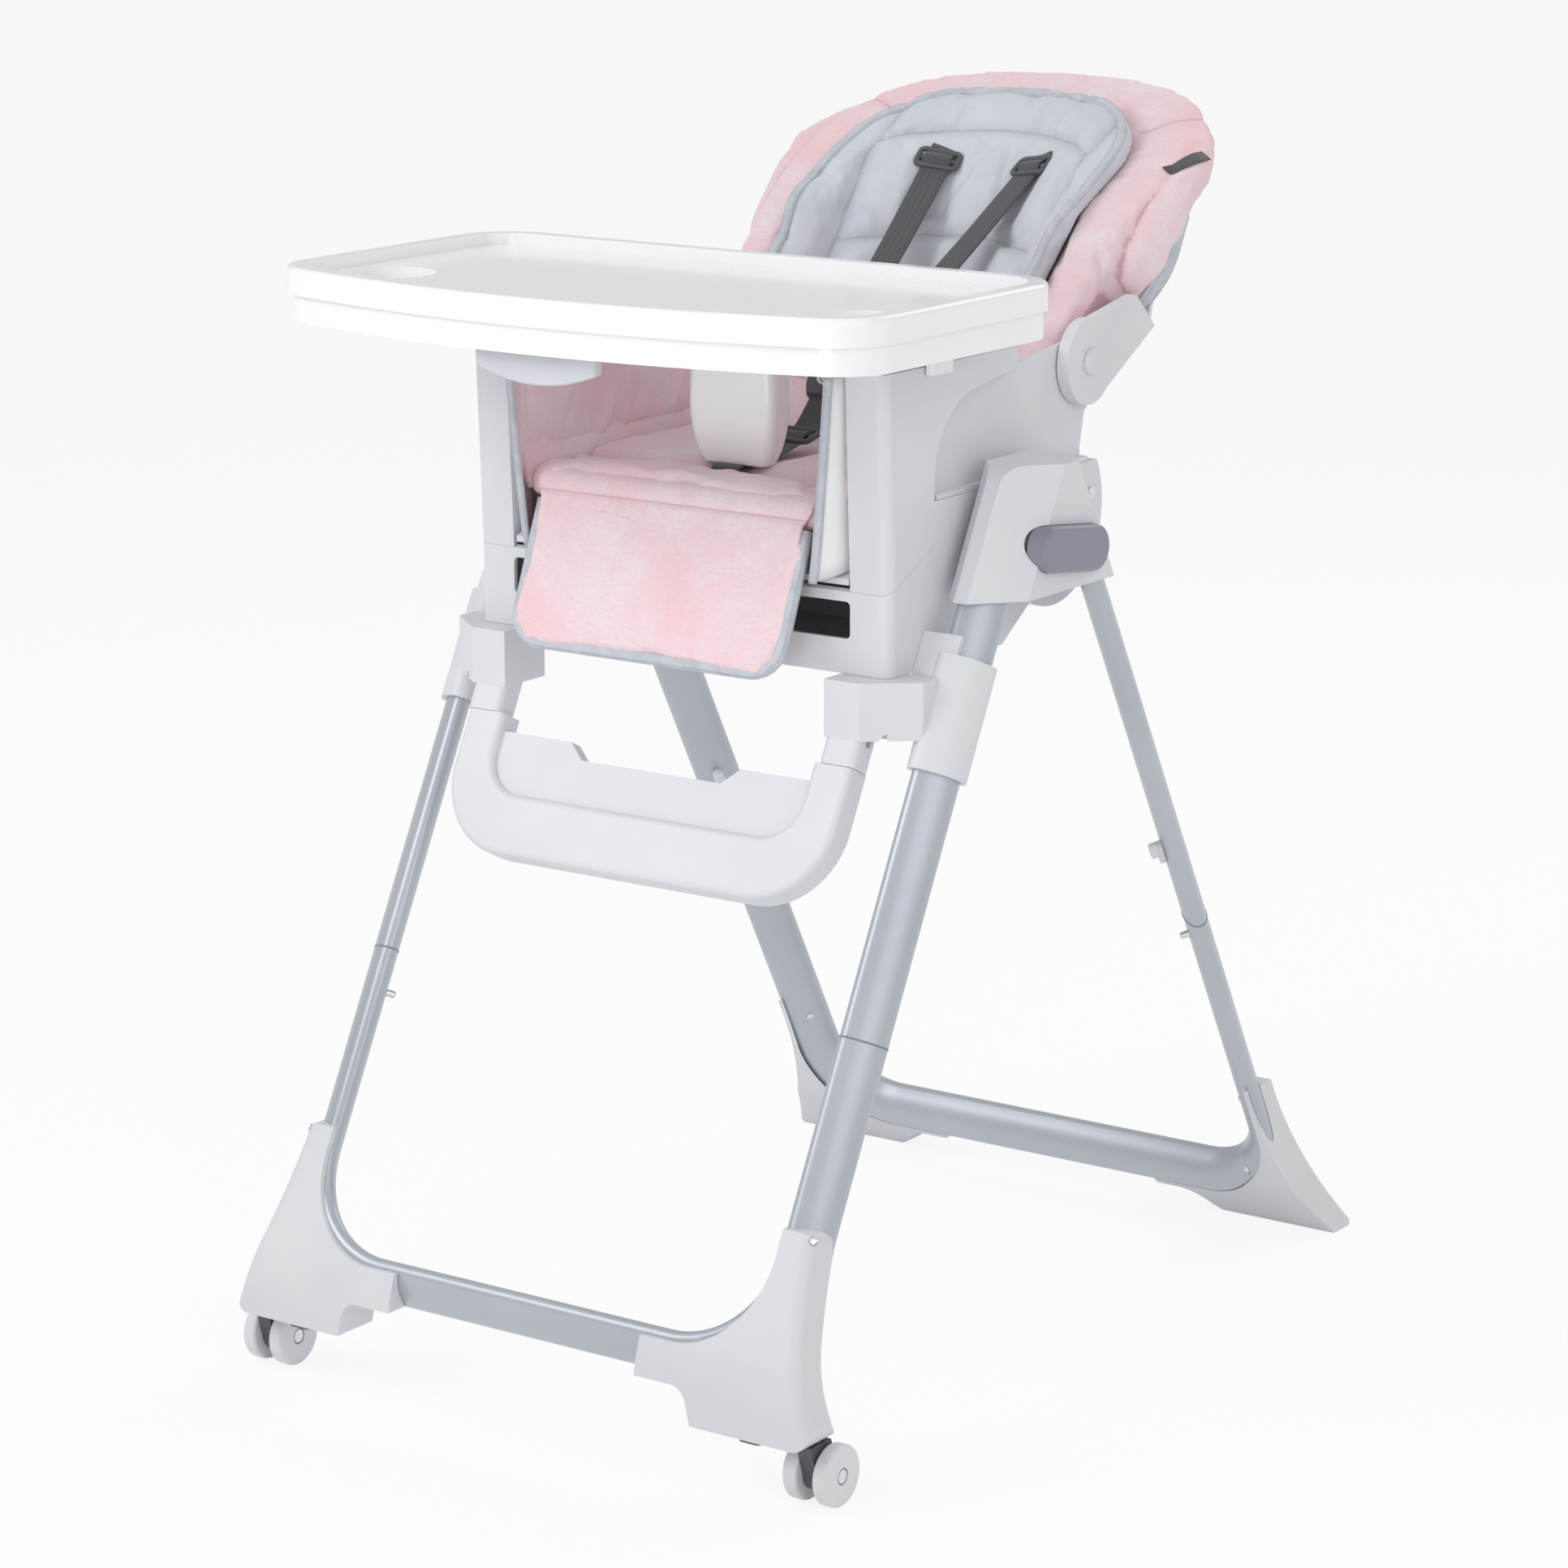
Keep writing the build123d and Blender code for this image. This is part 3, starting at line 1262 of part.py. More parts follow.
save_both(shoulder_strap.part, "shoulder_straps")
with BuildPart() as strap_slide:
    with BuildSketch(strap_plane.offset(seat_gap)):
        with Locations((20.0, 0)):
            RectangleRounded(18.0, strap_width + 9.0, 4.0)
    extrude(amount=4.0)
    fillet(strap_slide.faces().sort_by(lambda f: f.center().dot(strap_plane.z_dir))[-1].edges(), 1.2)
save_both(strap_slide.part, "strap_slides")


def tray_outline(grow):
    # Tray outline with a bowed front, drawn in or out by one distance
    wide = tray_half + grow
    ahead = tray_front - grow
    with BuildLine() as outline:
        Polyline(
            (wide, ahead + tray_front_bow),
            (wide, tray_back + grow),
            (-wide, tray_back + grow),
            (-wide, ahead + tray_front_bow),
        )
        ThreePointArc((-wide, ahead + tray_front_bow), (0, ahead), (wide, ahead + tray_front_bow))
    face = make_face(outline.edges())
    fillet(face.vertices(), tray_corner + grow)


# Tray base: a shallow tub, open below, on two runners over the arms
deck_low = tray_deck - tray_wall
with BuildPart() as tray_base:
    with BuildSketch(Plane.XY.offset(tray_bottom)):
        tray_outline(0)
    extrude(amount=tray_deck - tray_bottom)
    with BuildSketch(Plane.XY.offset(tray_bottom)):
        tray_outline(-tray_wall)
    extrude(amount=deck_low - tray_bottom, mode=Mode.SUBTRACT)
    for end in (-1, 1):
        with BuildSketch(Plane.XY.offset(arm_top + seat_gap)):
            with Locations((end * (runner_inner + runner_outer) / 2, (runner_front + runner_back) / 2)):
                RectangleRounded(runner_outer - runner_inner, runner_back - runner_front, 6.0)
        extrude(amount=deck_low - arm_top)
        # Guide slot of the latch
        with BuildSketch(Plane.YZ.offset(end * (runner_outer - 18.0))):
            with Locations((latch_y, latch_z)):
                Rectangle(12.0 + 2 * slide_gap, 10.0 + 2 * slide_gap)
        extrude(amount=end * 20.0, mode=Mode.SUBTRACT)
        # Rails that carry the slide of the lever
        with BuildSketch(Plane.XZ.offset(-lever_y - lever_thick / 2 - 1.5)):
            with BuildLine():
                Polyline(
                    (end * (lever_slide + slide_gap), deck_low + 1.0),
                    (end * (lever_slide + slide_gap), deck_low - 12.0),
                    (end * (lever_slide - 5.0), deck_low - 12.0),
                    (end * (lever_slide - 5.0), deck_low - 15.0),
                    (end * (lever_slide + 4.0), deck_low - 15.0),
                    (end * (lever_slide + 4.0), deck_low + 1.0),
                    close=True,
                )
            make_face()
        extrude(amount=-36.0)
    # Holes for the cup wells
    with BuildSketch(Plane.XY.offset(deck_low - 1.0)):
        with Locations((-cup_x, cup_y), (cup_x, cup_y)):
            Circle(cup_radius + tray_wall + 1.0)
    extrude(amount=tray_wall + 2.0, mode=Mode.SUBTRACT)
save(tray_base.part, "tray_base")

# Tray insert: the lift-off top with a rim, a wide well and two cup wells
insert_low = tray_deck + seat_gap
with BuildPart() as tray_insert:
    with BuildSketch(Plane.XY.offset(insert_low)):
        tray_outline(lip_over)
    extrude(amount=tray_rim - insert_low)
    fillet(tray_insert.faces().sort_by(Axis.Z)[-1].edges(), 4.0)
    # Skirt over the edge of the base
    with BuildSketch(Plane.XY.offset(lip_bottom)):
        tray_outline(lip_over)
    extrude(amount=insert_low - lip_bottom)
    with BuildSketch(Plane.XY.offset(lip_bottom)):
        tray_outline(seat_gap + 0.2)
    extrude(amount=insert_low - lip_bottom, mode=Mode.SUBTRACT)
    # Cup wells below the deck
    with BuildSketch(Plane.XY.offset(cup_floor - tray_wall)):
        with Locations((-cup_x, cup_y), (cup_x, cup_y)):
            Circle(cup_radius + tray_wall)
    extrude(amount=insert_low - cup_floor + tray_wall + 1.0)
    with BuildSketch(Plane.XY.offset(well_floor)):
        tray_outline(-rim_width)
    extrude(amount=tray_rim - well_floor, mode=Mode.SUBTRACT)
    with BuildSketch(Plane.XY.offset(cup_floor)):
        with Locations((-cup_x, cup_y), (cup_x, cup_y)):
            Circle(cup_radius)
    extrude(amount=tray_rim - cup_floor, mode=Mode.SUBTRACT)
save(tray_insert.part, "tray_insert")

# Crotch post under the tray
with BuildPart() as crotch_post:
    for height, pull in ((0, 9.0), (0.12, 2.0), (0.6, 0), (1.0, -3.0)):
        with BuildSketch(Plane.XY.offset(post_bottom + height * (deck_low - seat_gap - post_bottom))):
            with Locations((0, post_y)):
                RectangleRounded(2 * (post_half - pull), post_thick - pull, 9.0)
    loft()
    fillet(crotch_post.faces().sort_by(Axis.Z)[0].edges(), 3.0)
save(crotch_post.part, "crotch_post")

# Pull lever under the front of the tray
with BuildPart() as lever:
    with BuildSketch(Plane.XZ.offset(-lever_y - lever_thick / 2)):
        with BuildLine():
            lever_top = tray_bottom + 12.0
            Polyline((-lever_half, lever_bottom + 12.0), (-lever_half, lever_top), (lever_half, lever_top))
            Line((lever_half, lever_top), (lever_half, lever_bottom + 12.0))
            lever_low = lever_bottom + 12.0
            ThreePointArc((lever_half, lever_low), (0, lever_bottom), (-lever_half, lever_low))
        make_face()
    extrude(amount=lever_thick)
    fillet(lever.faces().sort_by(Axis.Y)[0].edges(), 2.5)
    with BuildSketch(Plane.XY.offset(deck_low - 11.0)):
        with Locations((0, lever_y + 20.0)):
            Rectangle(2 * lever_slide, 44.0)
    extrude(amount=11.0 - slide_gap)
    with BuildSketch(Plane.XY.offset(lever_top - 10.0)):
        with Locations((0, lever_y + 1.0)):
            Rectangle(2 * lever_slide - 16.0, lever_thick - 2.0)
    extrude(amount=deck_low - 5.0 - lever_top + 10.0)
save(lever.part, "tray_lever")

# Latches that hold the tray on the arms
with BuildPart() as latch:
    with BuildSketch(Plane.XY.offset(arm_top - 6.0)):
        with Locations((seat_half + 0.6 + 4.0, latch_y)):
            RectangleRounded(8.0, 30.0, 2.0)
    extrude(amount=deck_low - seat_gap - arm_top + 6.0)
    with BuildSketch(Plane.YZ.offset(runner_outer - 12.0)):
        with Locations((latch_y, latch_z)):
            Rectangle(12.0, 10.0)
    extrude(amount=seat_half + 3.0 - runner_outer + 12.0)
save_pair(latch.part, "tray_latch")

# Footrest: a U-shaped bar with a web panel and a rib, on two stubs
foot_plane = Plane(front.at(0, socket_seam, socket_ahead), x_dir=(1, 0, 0), z_dir=front.out)
with BuildPart() as footrest:
    with BuildSketch(foot_plane.offset(-footrest_thick / 2)):
        with BuildLine():
            FilletPolyline(
                (-footrest_half, -seat_gap),
                (-footrest_half, -footrest_drop),
                (footrest_half, -footrest_drop),
                (footrest_half, -seat_gap),
                radius=footrest_corner,
            )
            Line((footrest_half, -seat_gap), (footrest_inner, -seat_gap))
            FilletPolyline(
                (footrest_inner, -seat_gap),
                (footrest_inner, footrest_bar - footrest_drop),
                (-footrest_inner, footrest_bar - footrest_drop),
                (-footrest_inner, -seat_gap),
                radius=footrest_corner * 0.5,
            )
            Line((-footrest_inner, -seat_gap), (-footrest_half, -seat_gap))
        make_face()
    extrude(amount=footrest_thick)
    rim_edges = footrest.faces().sort_by(lambda f: f.center().dot(front.out))[-1].edges()
    fillet(rim_edges.filter_by(lambda e: e.length > 30.0 and e.center().Z < foot_plane.origin.Z - 8.0), 6.0)
    # Web panel with a notched top edge
    with BuildSketch(foot_plane.offset(-footrest_thick / 2 + 2.0)):
        with BuildLine():
            panel_low = footrest_bar - footrest_drop - 10.0
            Polyline(
                (-footrest_inner - 8.0, -14.0),
                (-footrest_inner - 8.0, panel_low),
                (footrest_inner + 8.0, panel_low),
                (footrest_inner + 8.0, -14.0),
                (footrest_inner * 0.55, -14.0),
                (footrest_inner * 0.45, -28.0),
                (-footrest_inner * 0.45, -28.0),
                (-footrest_inner * 0.55, -14.0),
                close=True,
            )
        make_face()
    extrude(amount=footrest_panel - 2.0)
    # Stubs for the sockets, grooved for the release buttons
    for end in (-1, 1):
        stub_foot = front.at(end * socket_x, socket_seam - 6.0, socket_ahead)
        stub_plane = Plane(stub_foot, x_dir=(1, 0, 0), z_dir=front.up)
        with BuildSketch(stub_plane):
            RectangleRounded(stub_width, stub_depth, 3.5)
        extrude(amount=stub_length + 6.0)
        groove_foot = stub_foot + Vector(end * (stub_width / 2 - 8.0), 0, 0)
        groove_plane = Plane(groove_foot, x_dir=front.up, z_dir=(1, 0, 0))
        with BuildSketch(groove_plane):
            with Locations((release_rise + 6.0 + 20.0, 0)):
                SlotOverall(2 * (release_radius + slide_gap) + 40.0, 2 * (release_radius + slide_gap))
        extrude(amount=end * 16.0, mode=Mode.SUBTRACT)
save(footrest.part, "footrest")
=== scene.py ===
import json
import math
import bpy
import bmesh
from mathutils import Matrix, Vector, noise
from mathutils.bvhtree import BVHTree


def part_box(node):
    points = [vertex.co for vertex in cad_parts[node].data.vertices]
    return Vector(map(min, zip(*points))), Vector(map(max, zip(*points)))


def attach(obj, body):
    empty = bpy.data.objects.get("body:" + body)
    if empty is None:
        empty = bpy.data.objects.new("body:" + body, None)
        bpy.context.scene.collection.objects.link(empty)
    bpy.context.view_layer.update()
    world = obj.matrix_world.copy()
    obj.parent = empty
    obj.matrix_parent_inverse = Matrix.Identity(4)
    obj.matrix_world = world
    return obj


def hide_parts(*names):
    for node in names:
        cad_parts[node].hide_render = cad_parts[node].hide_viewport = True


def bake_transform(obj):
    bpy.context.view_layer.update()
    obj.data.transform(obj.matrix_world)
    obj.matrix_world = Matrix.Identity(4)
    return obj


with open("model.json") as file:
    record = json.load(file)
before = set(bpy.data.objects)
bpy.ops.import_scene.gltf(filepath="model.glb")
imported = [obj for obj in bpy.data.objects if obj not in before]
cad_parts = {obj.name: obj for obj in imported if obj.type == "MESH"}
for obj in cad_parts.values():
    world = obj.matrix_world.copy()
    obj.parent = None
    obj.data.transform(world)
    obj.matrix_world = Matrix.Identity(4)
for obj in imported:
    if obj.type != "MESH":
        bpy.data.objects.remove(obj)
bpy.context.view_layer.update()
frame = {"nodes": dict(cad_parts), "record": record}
nodes = frame["nodes"]
scene = bpy.context.scene

print("frame loaded:", len(nodes), "nodes")


def tone(red, green, blue):
    # screen colour 0-255 to the linear colour that the shader takes
    def linear(v):
        return v / 12.92 if v < 0.0404 else ((v + 0.055) / 1.055) ** 2.4

    return (*(linear(v / 255) for v in (red, green, blue)), 1.0)


class Wire:
    # one output socket, with arithmetic that adds Math nodes
    def __init__(self, finish, socket):
        self.finish = finish
        self.socket = socket

    def out(self, name):
        return Wire(self.finish, self.socket.node.outputs[name])

    def maths(self, operation, first, second):
        return self.finish.add("ShaderNodeMath", {"operation": operation}, {0: first, 1: second})

    def __add__(self, other):
        return self.maths("ADD", self, other)

    def __sub__(self, other):
        return self.maths("SUBTRACT", self, other)

    def __rsub__(self, other):
        return self.maths("SUBTRACT", other, self)

    def __mul__(self, other):
        return self.maths("MULTIPLY", self, other)

    def higher(self, other):
        return self.maths("MAXIMUM", self, other)

    def lower(self, other):
        return self.maths("MINIMUM", self, other)


class Finish:
    # one material: a Principled shader and the nodes that feed it
    def __init__(self, name, **fixed):
        self.material = bpy.data.materials.new(name)
        self.material.use_nodes = True
        self.tree = self.material.node_tree
        self.tree.nodes.clear()
        self.shader = self.tree.nodes.new("ShaderNodeBsdfPrincipled")
        self.output = self.tree.nodes.new("ShaderNodeOutputMaterial")
        self.tree.links.new(self.shader.outputs[0], self.output.inputs[0])
        self.feed({k.replace("_", " "): v for k, v in fixed.items()})

    def plug(self, node, inputs):
        for key, value in inputs.items():
            socket = node.inputs[key]
            if isinstance(value, Wire):
                self.tree.links.new(value.socket, socket)
            else:
                socket.default_value = value

    def add(self, kind, settings=None, inputs=None):
        node = self.tree.nodes.new(kind)
        for key, value in (settings or {}).items():
            if key == "stops":
                ramp = node.color_ramp
                while len(ramp.elements) < len(value):
                    ramp.elements.new(0.5)
                for stop, (place, colour) in zip(ramp.elements, value):
                    stop.position = place
                    stop.color = colour
            else:
                setattr(node, key, value)
        self.plug(node, inputs or {})
        return Wire(self, next(s for s in node.outputs if s.enabled))

    def feed(self, inputs):
        self.plug(self.shader, inputs)

    def coords(self, turn=(0, 0, 0), stretch=(1, 1, 1)):
        place = self.add("ShaderNodeTexCoord").out("Object")
        return self.add("ShaderNodeMapping", {}, {"Vector": place, "Rotation": turn, "Scale": stretch})

    def grain(self, scale, detail=2.0, rough=0.5, vector=None):
        vector = vector or self.coords()
        return self.add("ShaderNodeTexNoise", {},
                        {"Vector": vector, "Scale": scale, "Detail": detail, "Roughness": rough})

    def ribs(self, scale, turn=(0, 0, 0), wander=0.0):
        return self.add("ShaderNodeTexWave", {"bands_direction": "X"},
                        {"Vector": self.coords(turn), "Scale": scale, "Distortion": wander, "Detail": 1.0})

    def seam(self):
        return self.add("ShaderNodeAttribute", {"attribute_name": "seam"}).out("Fac")

    def weave(self, threads, warp, weft, wander):
        # two sets of threads, each at its own turn
        scale = threads / 6.28
        return self.ribs(scale, warp, wander) * 0.5 + self.ribs(scale, weft, wander) * 0.5

    def strip(self):
        # place round and along a swept band
        place = self.add("ShaderNodeTexCoord").out("UV")
        split = self.add("ShaderNodeSeparateXYZ", {}, {0: place})
        return split.out("X"), split.out("Y")

    def blendColour(self, factor, first, second):
        return self.add("ShaderNodeMix", {"data_type": "RGBA"}, {0: factor, 6: first, 7: second}).out(2)

    def spread(self, value, low, high, fromLow=0.0, fromHigh=1.0):
        return self.add("ShaderNodeMapRange", {}, {0: value, 1: fromLow, 2: fromHigh, 3: low, 4: high})

    def mottle(self, value, first, second, low=0.35, high=0.65):
        # two colours, mixed by the middle range of a noise
        return self.blendColour(self.spread(value, 0.0, 1.0, low, high), first, second)

    def emboss(self, height, strength, distance=0.001):
        bump = self.add("ShaderNodeBump", {}, {"Height": height, "Strength": strength, "Distance": distance})
        self.feed({"Normal": bump})


# Finishes

def mouldedPlastic(name, colour, shade, roughness, grainScale=1400, relief=0.10, coat=0.0):
    finish = Finish(name, Coat_Roughness=0.15, Specular_IOR_Level=0.45)
    cloud = finish.grain(6.0, 3.0)
    sand = finish.grain(grainScale, 2.0, 0.6)
    finish.feed({
        "Base Color": finish.mottle(cloud, colour, shade),
        "Roughness": finish.spread(sand, roughness - 0.05, roughness + 0.07, 0.3, 0.7),
        "Coat Weight": coat,
    })
    finish.emboss(sand, relief, 0.0004)
    return finish.material


def silverTube():
    paint = {"colour": tone(187, 191, 199), "shade": tone(180, 185, 193), "dull": 0.38, "metal": 0.45}
    finish = Finish("silverPaint", Coat_Roughness=0.22, Coat_Weight=0.12)
    fleck = finish.grain(3200, 1.0, 0.6)
    cloud = finish.grain(5.0, 2.0, 0.5)
    finish.feed({
        "Base Color": finish.mottle(cloud, paint["colour"], paint["shade"]),
        "Roughness": finish.spread(fleck, paint["dull"] - 0.04, paint["dull"] + 0.05, 0.3, 0.7),
        "Metallic": paint["metal"],
    })
    finish.emboss(fleck, 0.03, 0.0002)
    return finish.material


def chromePin():
    finish = Finish("chromePin", Metallic=1.0)
    rub = finish.grain(300, 2.0)
    finish.feed({"Base Color": finish.blendColour(rub, tone(225, 226, 230), tone(205, 207, 212)),
                 "Roughness": finish.spread(rub, 0.10, 0.24, 0.3, 0.7)})
    return finish.material


def pinkCloth():
    cloth = {"pink": tone(237, 204, 210), "pale": tone(234, 220, 224), "thread": tone(226, 184, 191),
             "stitch": tone(196, 150, 160), "threads": 900}
    finish = Finish("pinkHeather", Sheen_Weight=0.15, Sheen_Roughness=0.5, Specular_IOR_Level=0.25)
    weave = finish.weave(cloth["threads"], (0, 0, 0.06), (0.2, 1.2, 1.57), 0.6)
    wash = finish.grain(9.0, 4.0, 0.6)  # the soft watercolour mottling of the print
    melange = finish.grain(420, 3.0, 0.7, finish.coords(stretch=(0.35, 1.0, 1.0)))
    seam = finish.seam()
    bloom = finish.grain(34.0, 4.0, 0.65)
    body = finish.mottle(wash * 0.65 + bloom * 0.35, cloth["pink"], cloth["pale"], 0.40, 0.60)
    flecked = finish.blendColour(finish.spread(melange, 0.0, 0.45, 0.45, 0.75), body, cloth["thread"])
    line = finish.spread(seam, 0.0, 0.8, 0.78, 0.97)
    # shaded is painted shade across each sewn groove, mixed toward the thread colour; line is the stitching
    # itself
    shaded = finish.blendColour(seam * 0.35, flecked, cloth["thread"])
    finish.feed({"Base Color": finish.blendColour(line, shaded, cloth["stitch"]),
                 "Roughness": finish.spread(weave, 0.78, 0.92)})
    finish.emboss(weave + melange * 0.6, 0.22, 0.0006)
    return finish.material


def greyCloth(name, colour, shade, threads=700, relief=0.12):
    finish = Finish(name, Sheen_Weight=0.25, Sheen_Roughness=0.45, Specular_IOR_Level=0.25)
    weave = finish.weave(threads, (0, 0, 0.5), (0.3, 1.3, 2.07), 0.4)
    wash = finish.grain(14.0, 3.0, 0.55)
    seam = finish.seam()
    body = finish.mottle(wash, colour, shade, 0.38, 0.64)
    # seamLineAndShade darkens the seams: painted shade spread broadly across each sewn groove, and a narrow
    # dark seam line along its middle
    seamLineAndShade = tuple(v * 0.62 for v in shade[:3]) + (1.0,)
    line = finish.spread(seam, 0.0, 0.75, 0.78, 0.97)
    finish.feed({"Base Color": finish.blendColour((seam * 0.3).higher(line), body, seamLineAndShade),
                 "Roughness": finish.spread(weave, 0.72, 0.86)})
    finish.emboss(weave, relief, 0.0004)
    return finish.material


def webbing():
    strap = {"colour": tone(96, 98, 102), "shade": tone(66, 68, 72), "rows": 520.0, "columns": 24.0}
    finish = Finish("webbing", Specular_IOR_Level=0.3, Sheen_Weight=0.2)
    across, along = finish.strip()
    column = across.maths("SINE", across * (strap["columns"] * 2 * math.pi), 0.0)
    row = across.maths("SINE", along * (strap["rows"] * 2 * math.pi) + column * 1.6, 0.0)
    twill = (row * 0.5 + 0.5) * (column * 0.25 + 0.75)
    fuzz = finish.grain(900, 2.0)
    finish.feed({"Base Color": finish.blendColour(twill * 0.7 + fuzz * 0.3, strap["shade"], strap["colour"]),
                 "Roughness": finish.spread(twill, 0.85, 0.65)})
    finish.emboss(twill + fuzz * 0.3, 0.5, 0.0005)
    return finish.material


def bindingTape():
    # folded tape with a row of stitches near each edge of its face
    tape = {"colour": tone(200, 203, 210), "shade": tone(186, 190, 198), "thread": tone(168, 172, 182),
            "pitch": 0.0034, "dash": 0.68, "row": 0.125, "rib": 0.0011}
    finish = Finish("greyBinding", Sheen_Weight=0.2, Specular_IOR_Level=0.25)
    turn, along = finish.strip()
    turn = turn.maths("FRACT", turn, 0.0)
    fold = turn.maths("ABSOLUTE", turn.lower(1.0 - turn) - tape["row"], 0.0)
    line = finish.spread(fold, 1.0, 0.0, 0.010, 0.022)
    step = along * (1.0 / tape["pitch"])
    dash = step.maths("GREATER_THAN", tape["dash"], step.maths("FRACT", step, 0.0))
    stitch = line * dash
    rib = along.maths("SINE", along * (2 * math.pi / tape["rib"]), 0.0)
    wash = finish.grain(60.0, 3.0, 0.6)
    body = finish.mottle(wash, tape["colour"], tape["shade"], 0.36, 0.64)
    finish.feed({"Base Color": finish.blendColour(stitch * 0.85, body, tape["thread"]),
                 "Roughness": finish.spread(wash, 0.74, 0.86)})
    finish.emboss(rib * 0.12 - line * 0.7 + stitch * 1.1, 0.5, 0.0006)
    return finish.material


finishes = {
    "frame_silver": silverTube(),
    "chrome_pin": chromePin(),
    "grey_plastic": mouldedPlastic("greyPlastic", tone(220, 222, 226), tone(214, 216, 221), 0.42),
    "dark_plastic": mouldedPlastic("darkPlastic", tone(86, 88, 93), tone(78, 80, 86), 0.42, 1600, 0.12),
    "wheel_grey": mouldedPlastic("wheelPlastic", tone(224, 226, 230), tone(216, 218, 222), 0.33),
    "white_gloss": mouldedPlastic("whiteGloss", tone(246, 246, 248), tone(243, 243, 246), 0.16,
                                  500, 0.015, 0.35),
    "lever_grey": mouldedPlastic("leverPlastic", tone(208, 211, 217), tone(202, 205, 211), 0.38),
    "pink_fabric": pinkCloth(),
    "grey_fabric": greyCloth("greyMicrofibre", tone(208, 212, 219), tone(200, 204, 212)),
    "dark_webbing": webbing(),
    "binding": bindingTape(),
    "lining": greyCloth("whiteLining", tone(238, 238, 240), tone(228, 229, 232), 900, 0.2),
    "button_grey": mouldedPlastic("buttonGrey", tone(140, 143, 154), tone(132, 135, 146), 0.36),
    "stop_rubber": mouldedPlastic("stopRubber", tone(120, 121, 126), tone(110, 111, 116), 0.6),
}
nodeFinish = {"fold_button_left": "button_grey", "fold_button_right": "button_grey",
              "foot_stops": "stop_rubber"}


def smooth(piece):
    for face in piece.data.polygons:
        face.use_smooth = True


def dressFrame():
    slots = {row["node"]: row["material_slot"] for row in frame["record"]["subparts"]}
    for name, node in nodes.items():
        node.data.materials.clear()
        node.data.materials.append(finishes[nodeFinish.get(name, slots[name])])
        smooth(node)
        node.data.set_sharp_from_angle(angle=math.radians(32))


dressFrame()
print("frame dressed")


# Helpers: pieces of the back are laid out up it (t), across it (x) and off it (n)
backFrame = {"pivot": Vector((0, 0.096, 0.826)), "lean": math.radians(43.5)}


def leaning(angle):
    # the ways up and out of a sheet that leans back
    return Vector((0, math.sin(angle), math.cos(angle))), Vector((0, -math.cos(angle), math.sin(angle)))


backUp, backFace = leaning(backFrame["lean"])


def backPoint(x, t, n):
    return backFrame["pivot"] + Vector((x, 0, 0)) + backUp * t + backFace * n


def backPlace(point):
    offset = point - backFrame["pivot"]
    return point.x, offset.dot(backUp), offset.dot(backFace)


def clamp(value):
    return min(1.0, max(0.0, value))


def bell(value):
    return math.exp(-(value ** 2))


def wave(a, b, c):
    return noise.noise(Vector((a, b, c)))


def link(name, mesh, finish=None):
    piece = bpy.data.objects.new(name, mesh)
    scene.collection.objects.link(piece)
    if finish:
        mesh.materials.clear()
        mesh.materials.append(finishes[finish])
    return piece


def pieceFrom(bm, name, finish=None):
    mesh = bpy.data.meshes.new(name)
    bm.to_mesh(mesh)
    bm.free()
    return link(name, mesh, finish)


def thicken(piece, thick):
    body = piece.modifiers.new("Solidify", "SOLIDIFY")
    body.thickness = thick
    body.offset = -1.0
    return body


def faceTowards(bm, way):
    # turns an open sheet so that its front looks one way
    bmesh.ops.recalc_face_normals(bm, faces=bm.faces)
    if sum((f.normal for f in bm.faces), Vector()).dot(way) < 0:
        bmesh.ops.reverse_faces(bm, faces=bm.faces)


def skinOf(piece):
    mesh = piece.data
    return BVHTree.FromPolygons([v.co.copy() for v in mesh.vertices], [p.vertices[:] for p in mesh.polygons])


def gridOf(shape):
    bm = bmesh.new()
    bmesh.ops.create_grid(bm, x_segments=shape["columns"], y_segments=shape["rows"], size=0.5)
    return bm


def mergedFrom(node):
    bm = bmesh.new()
    bm.from_mesh(nodes[node].data)
    bmesh.ops.remove_doubles(bm, verts=bm.verts, dist=1e-6)
    return bm


def copyOf(node, name, shrink):
    # a merged copy of a CAD solid, drawn in a little along its normals
    mesh = nodes[node].data.copy()
    bm = mergedFrom(node)
    bm.normal_update()
    for vert in bm.verts:
        vert.co -= vert.normal * shrink
    bm.to_mesh(mesh)
    bm.free()
    return link(name, mesh)


def remesh(piece, voxel):
    bpy.context.view_layer.objects.active = piece
    piece.select_set(True)
    piece.data.remesh_voxel_size = voxel
    piece.data.remesh_voxel_adaptivity = 0.0
    bpy.ops.object.voxel_remesh()
    piece.select_set(False)


def relax(piece, rounds):
    # softens the edges that the remesh leaves
    bm = bmesh.new()
    bm.from_mesh(piece.data)
    for _ in range(rounds):
        bmesh.ops.smooth_vert(bm, verts=bm.verts, factor=0.5,
                              use_axis_x=True, use_axis_y=True, use_axis_z=True)
    bm.to_mesh(piece.data)
    bm.free()


def softCopy(node, name, recipe, rounds):
    piece = copyOf(node, name, recipe["shrink"])
    remesh(piece, recipe["voxel"])
    if rounds:
        relax(piece, rounds)
    return piece


clothRun = {"quality": 5, "mass": 0.2, "stretch": 12, "bend": 0.4, "slack": -0.03, "frames": 20}


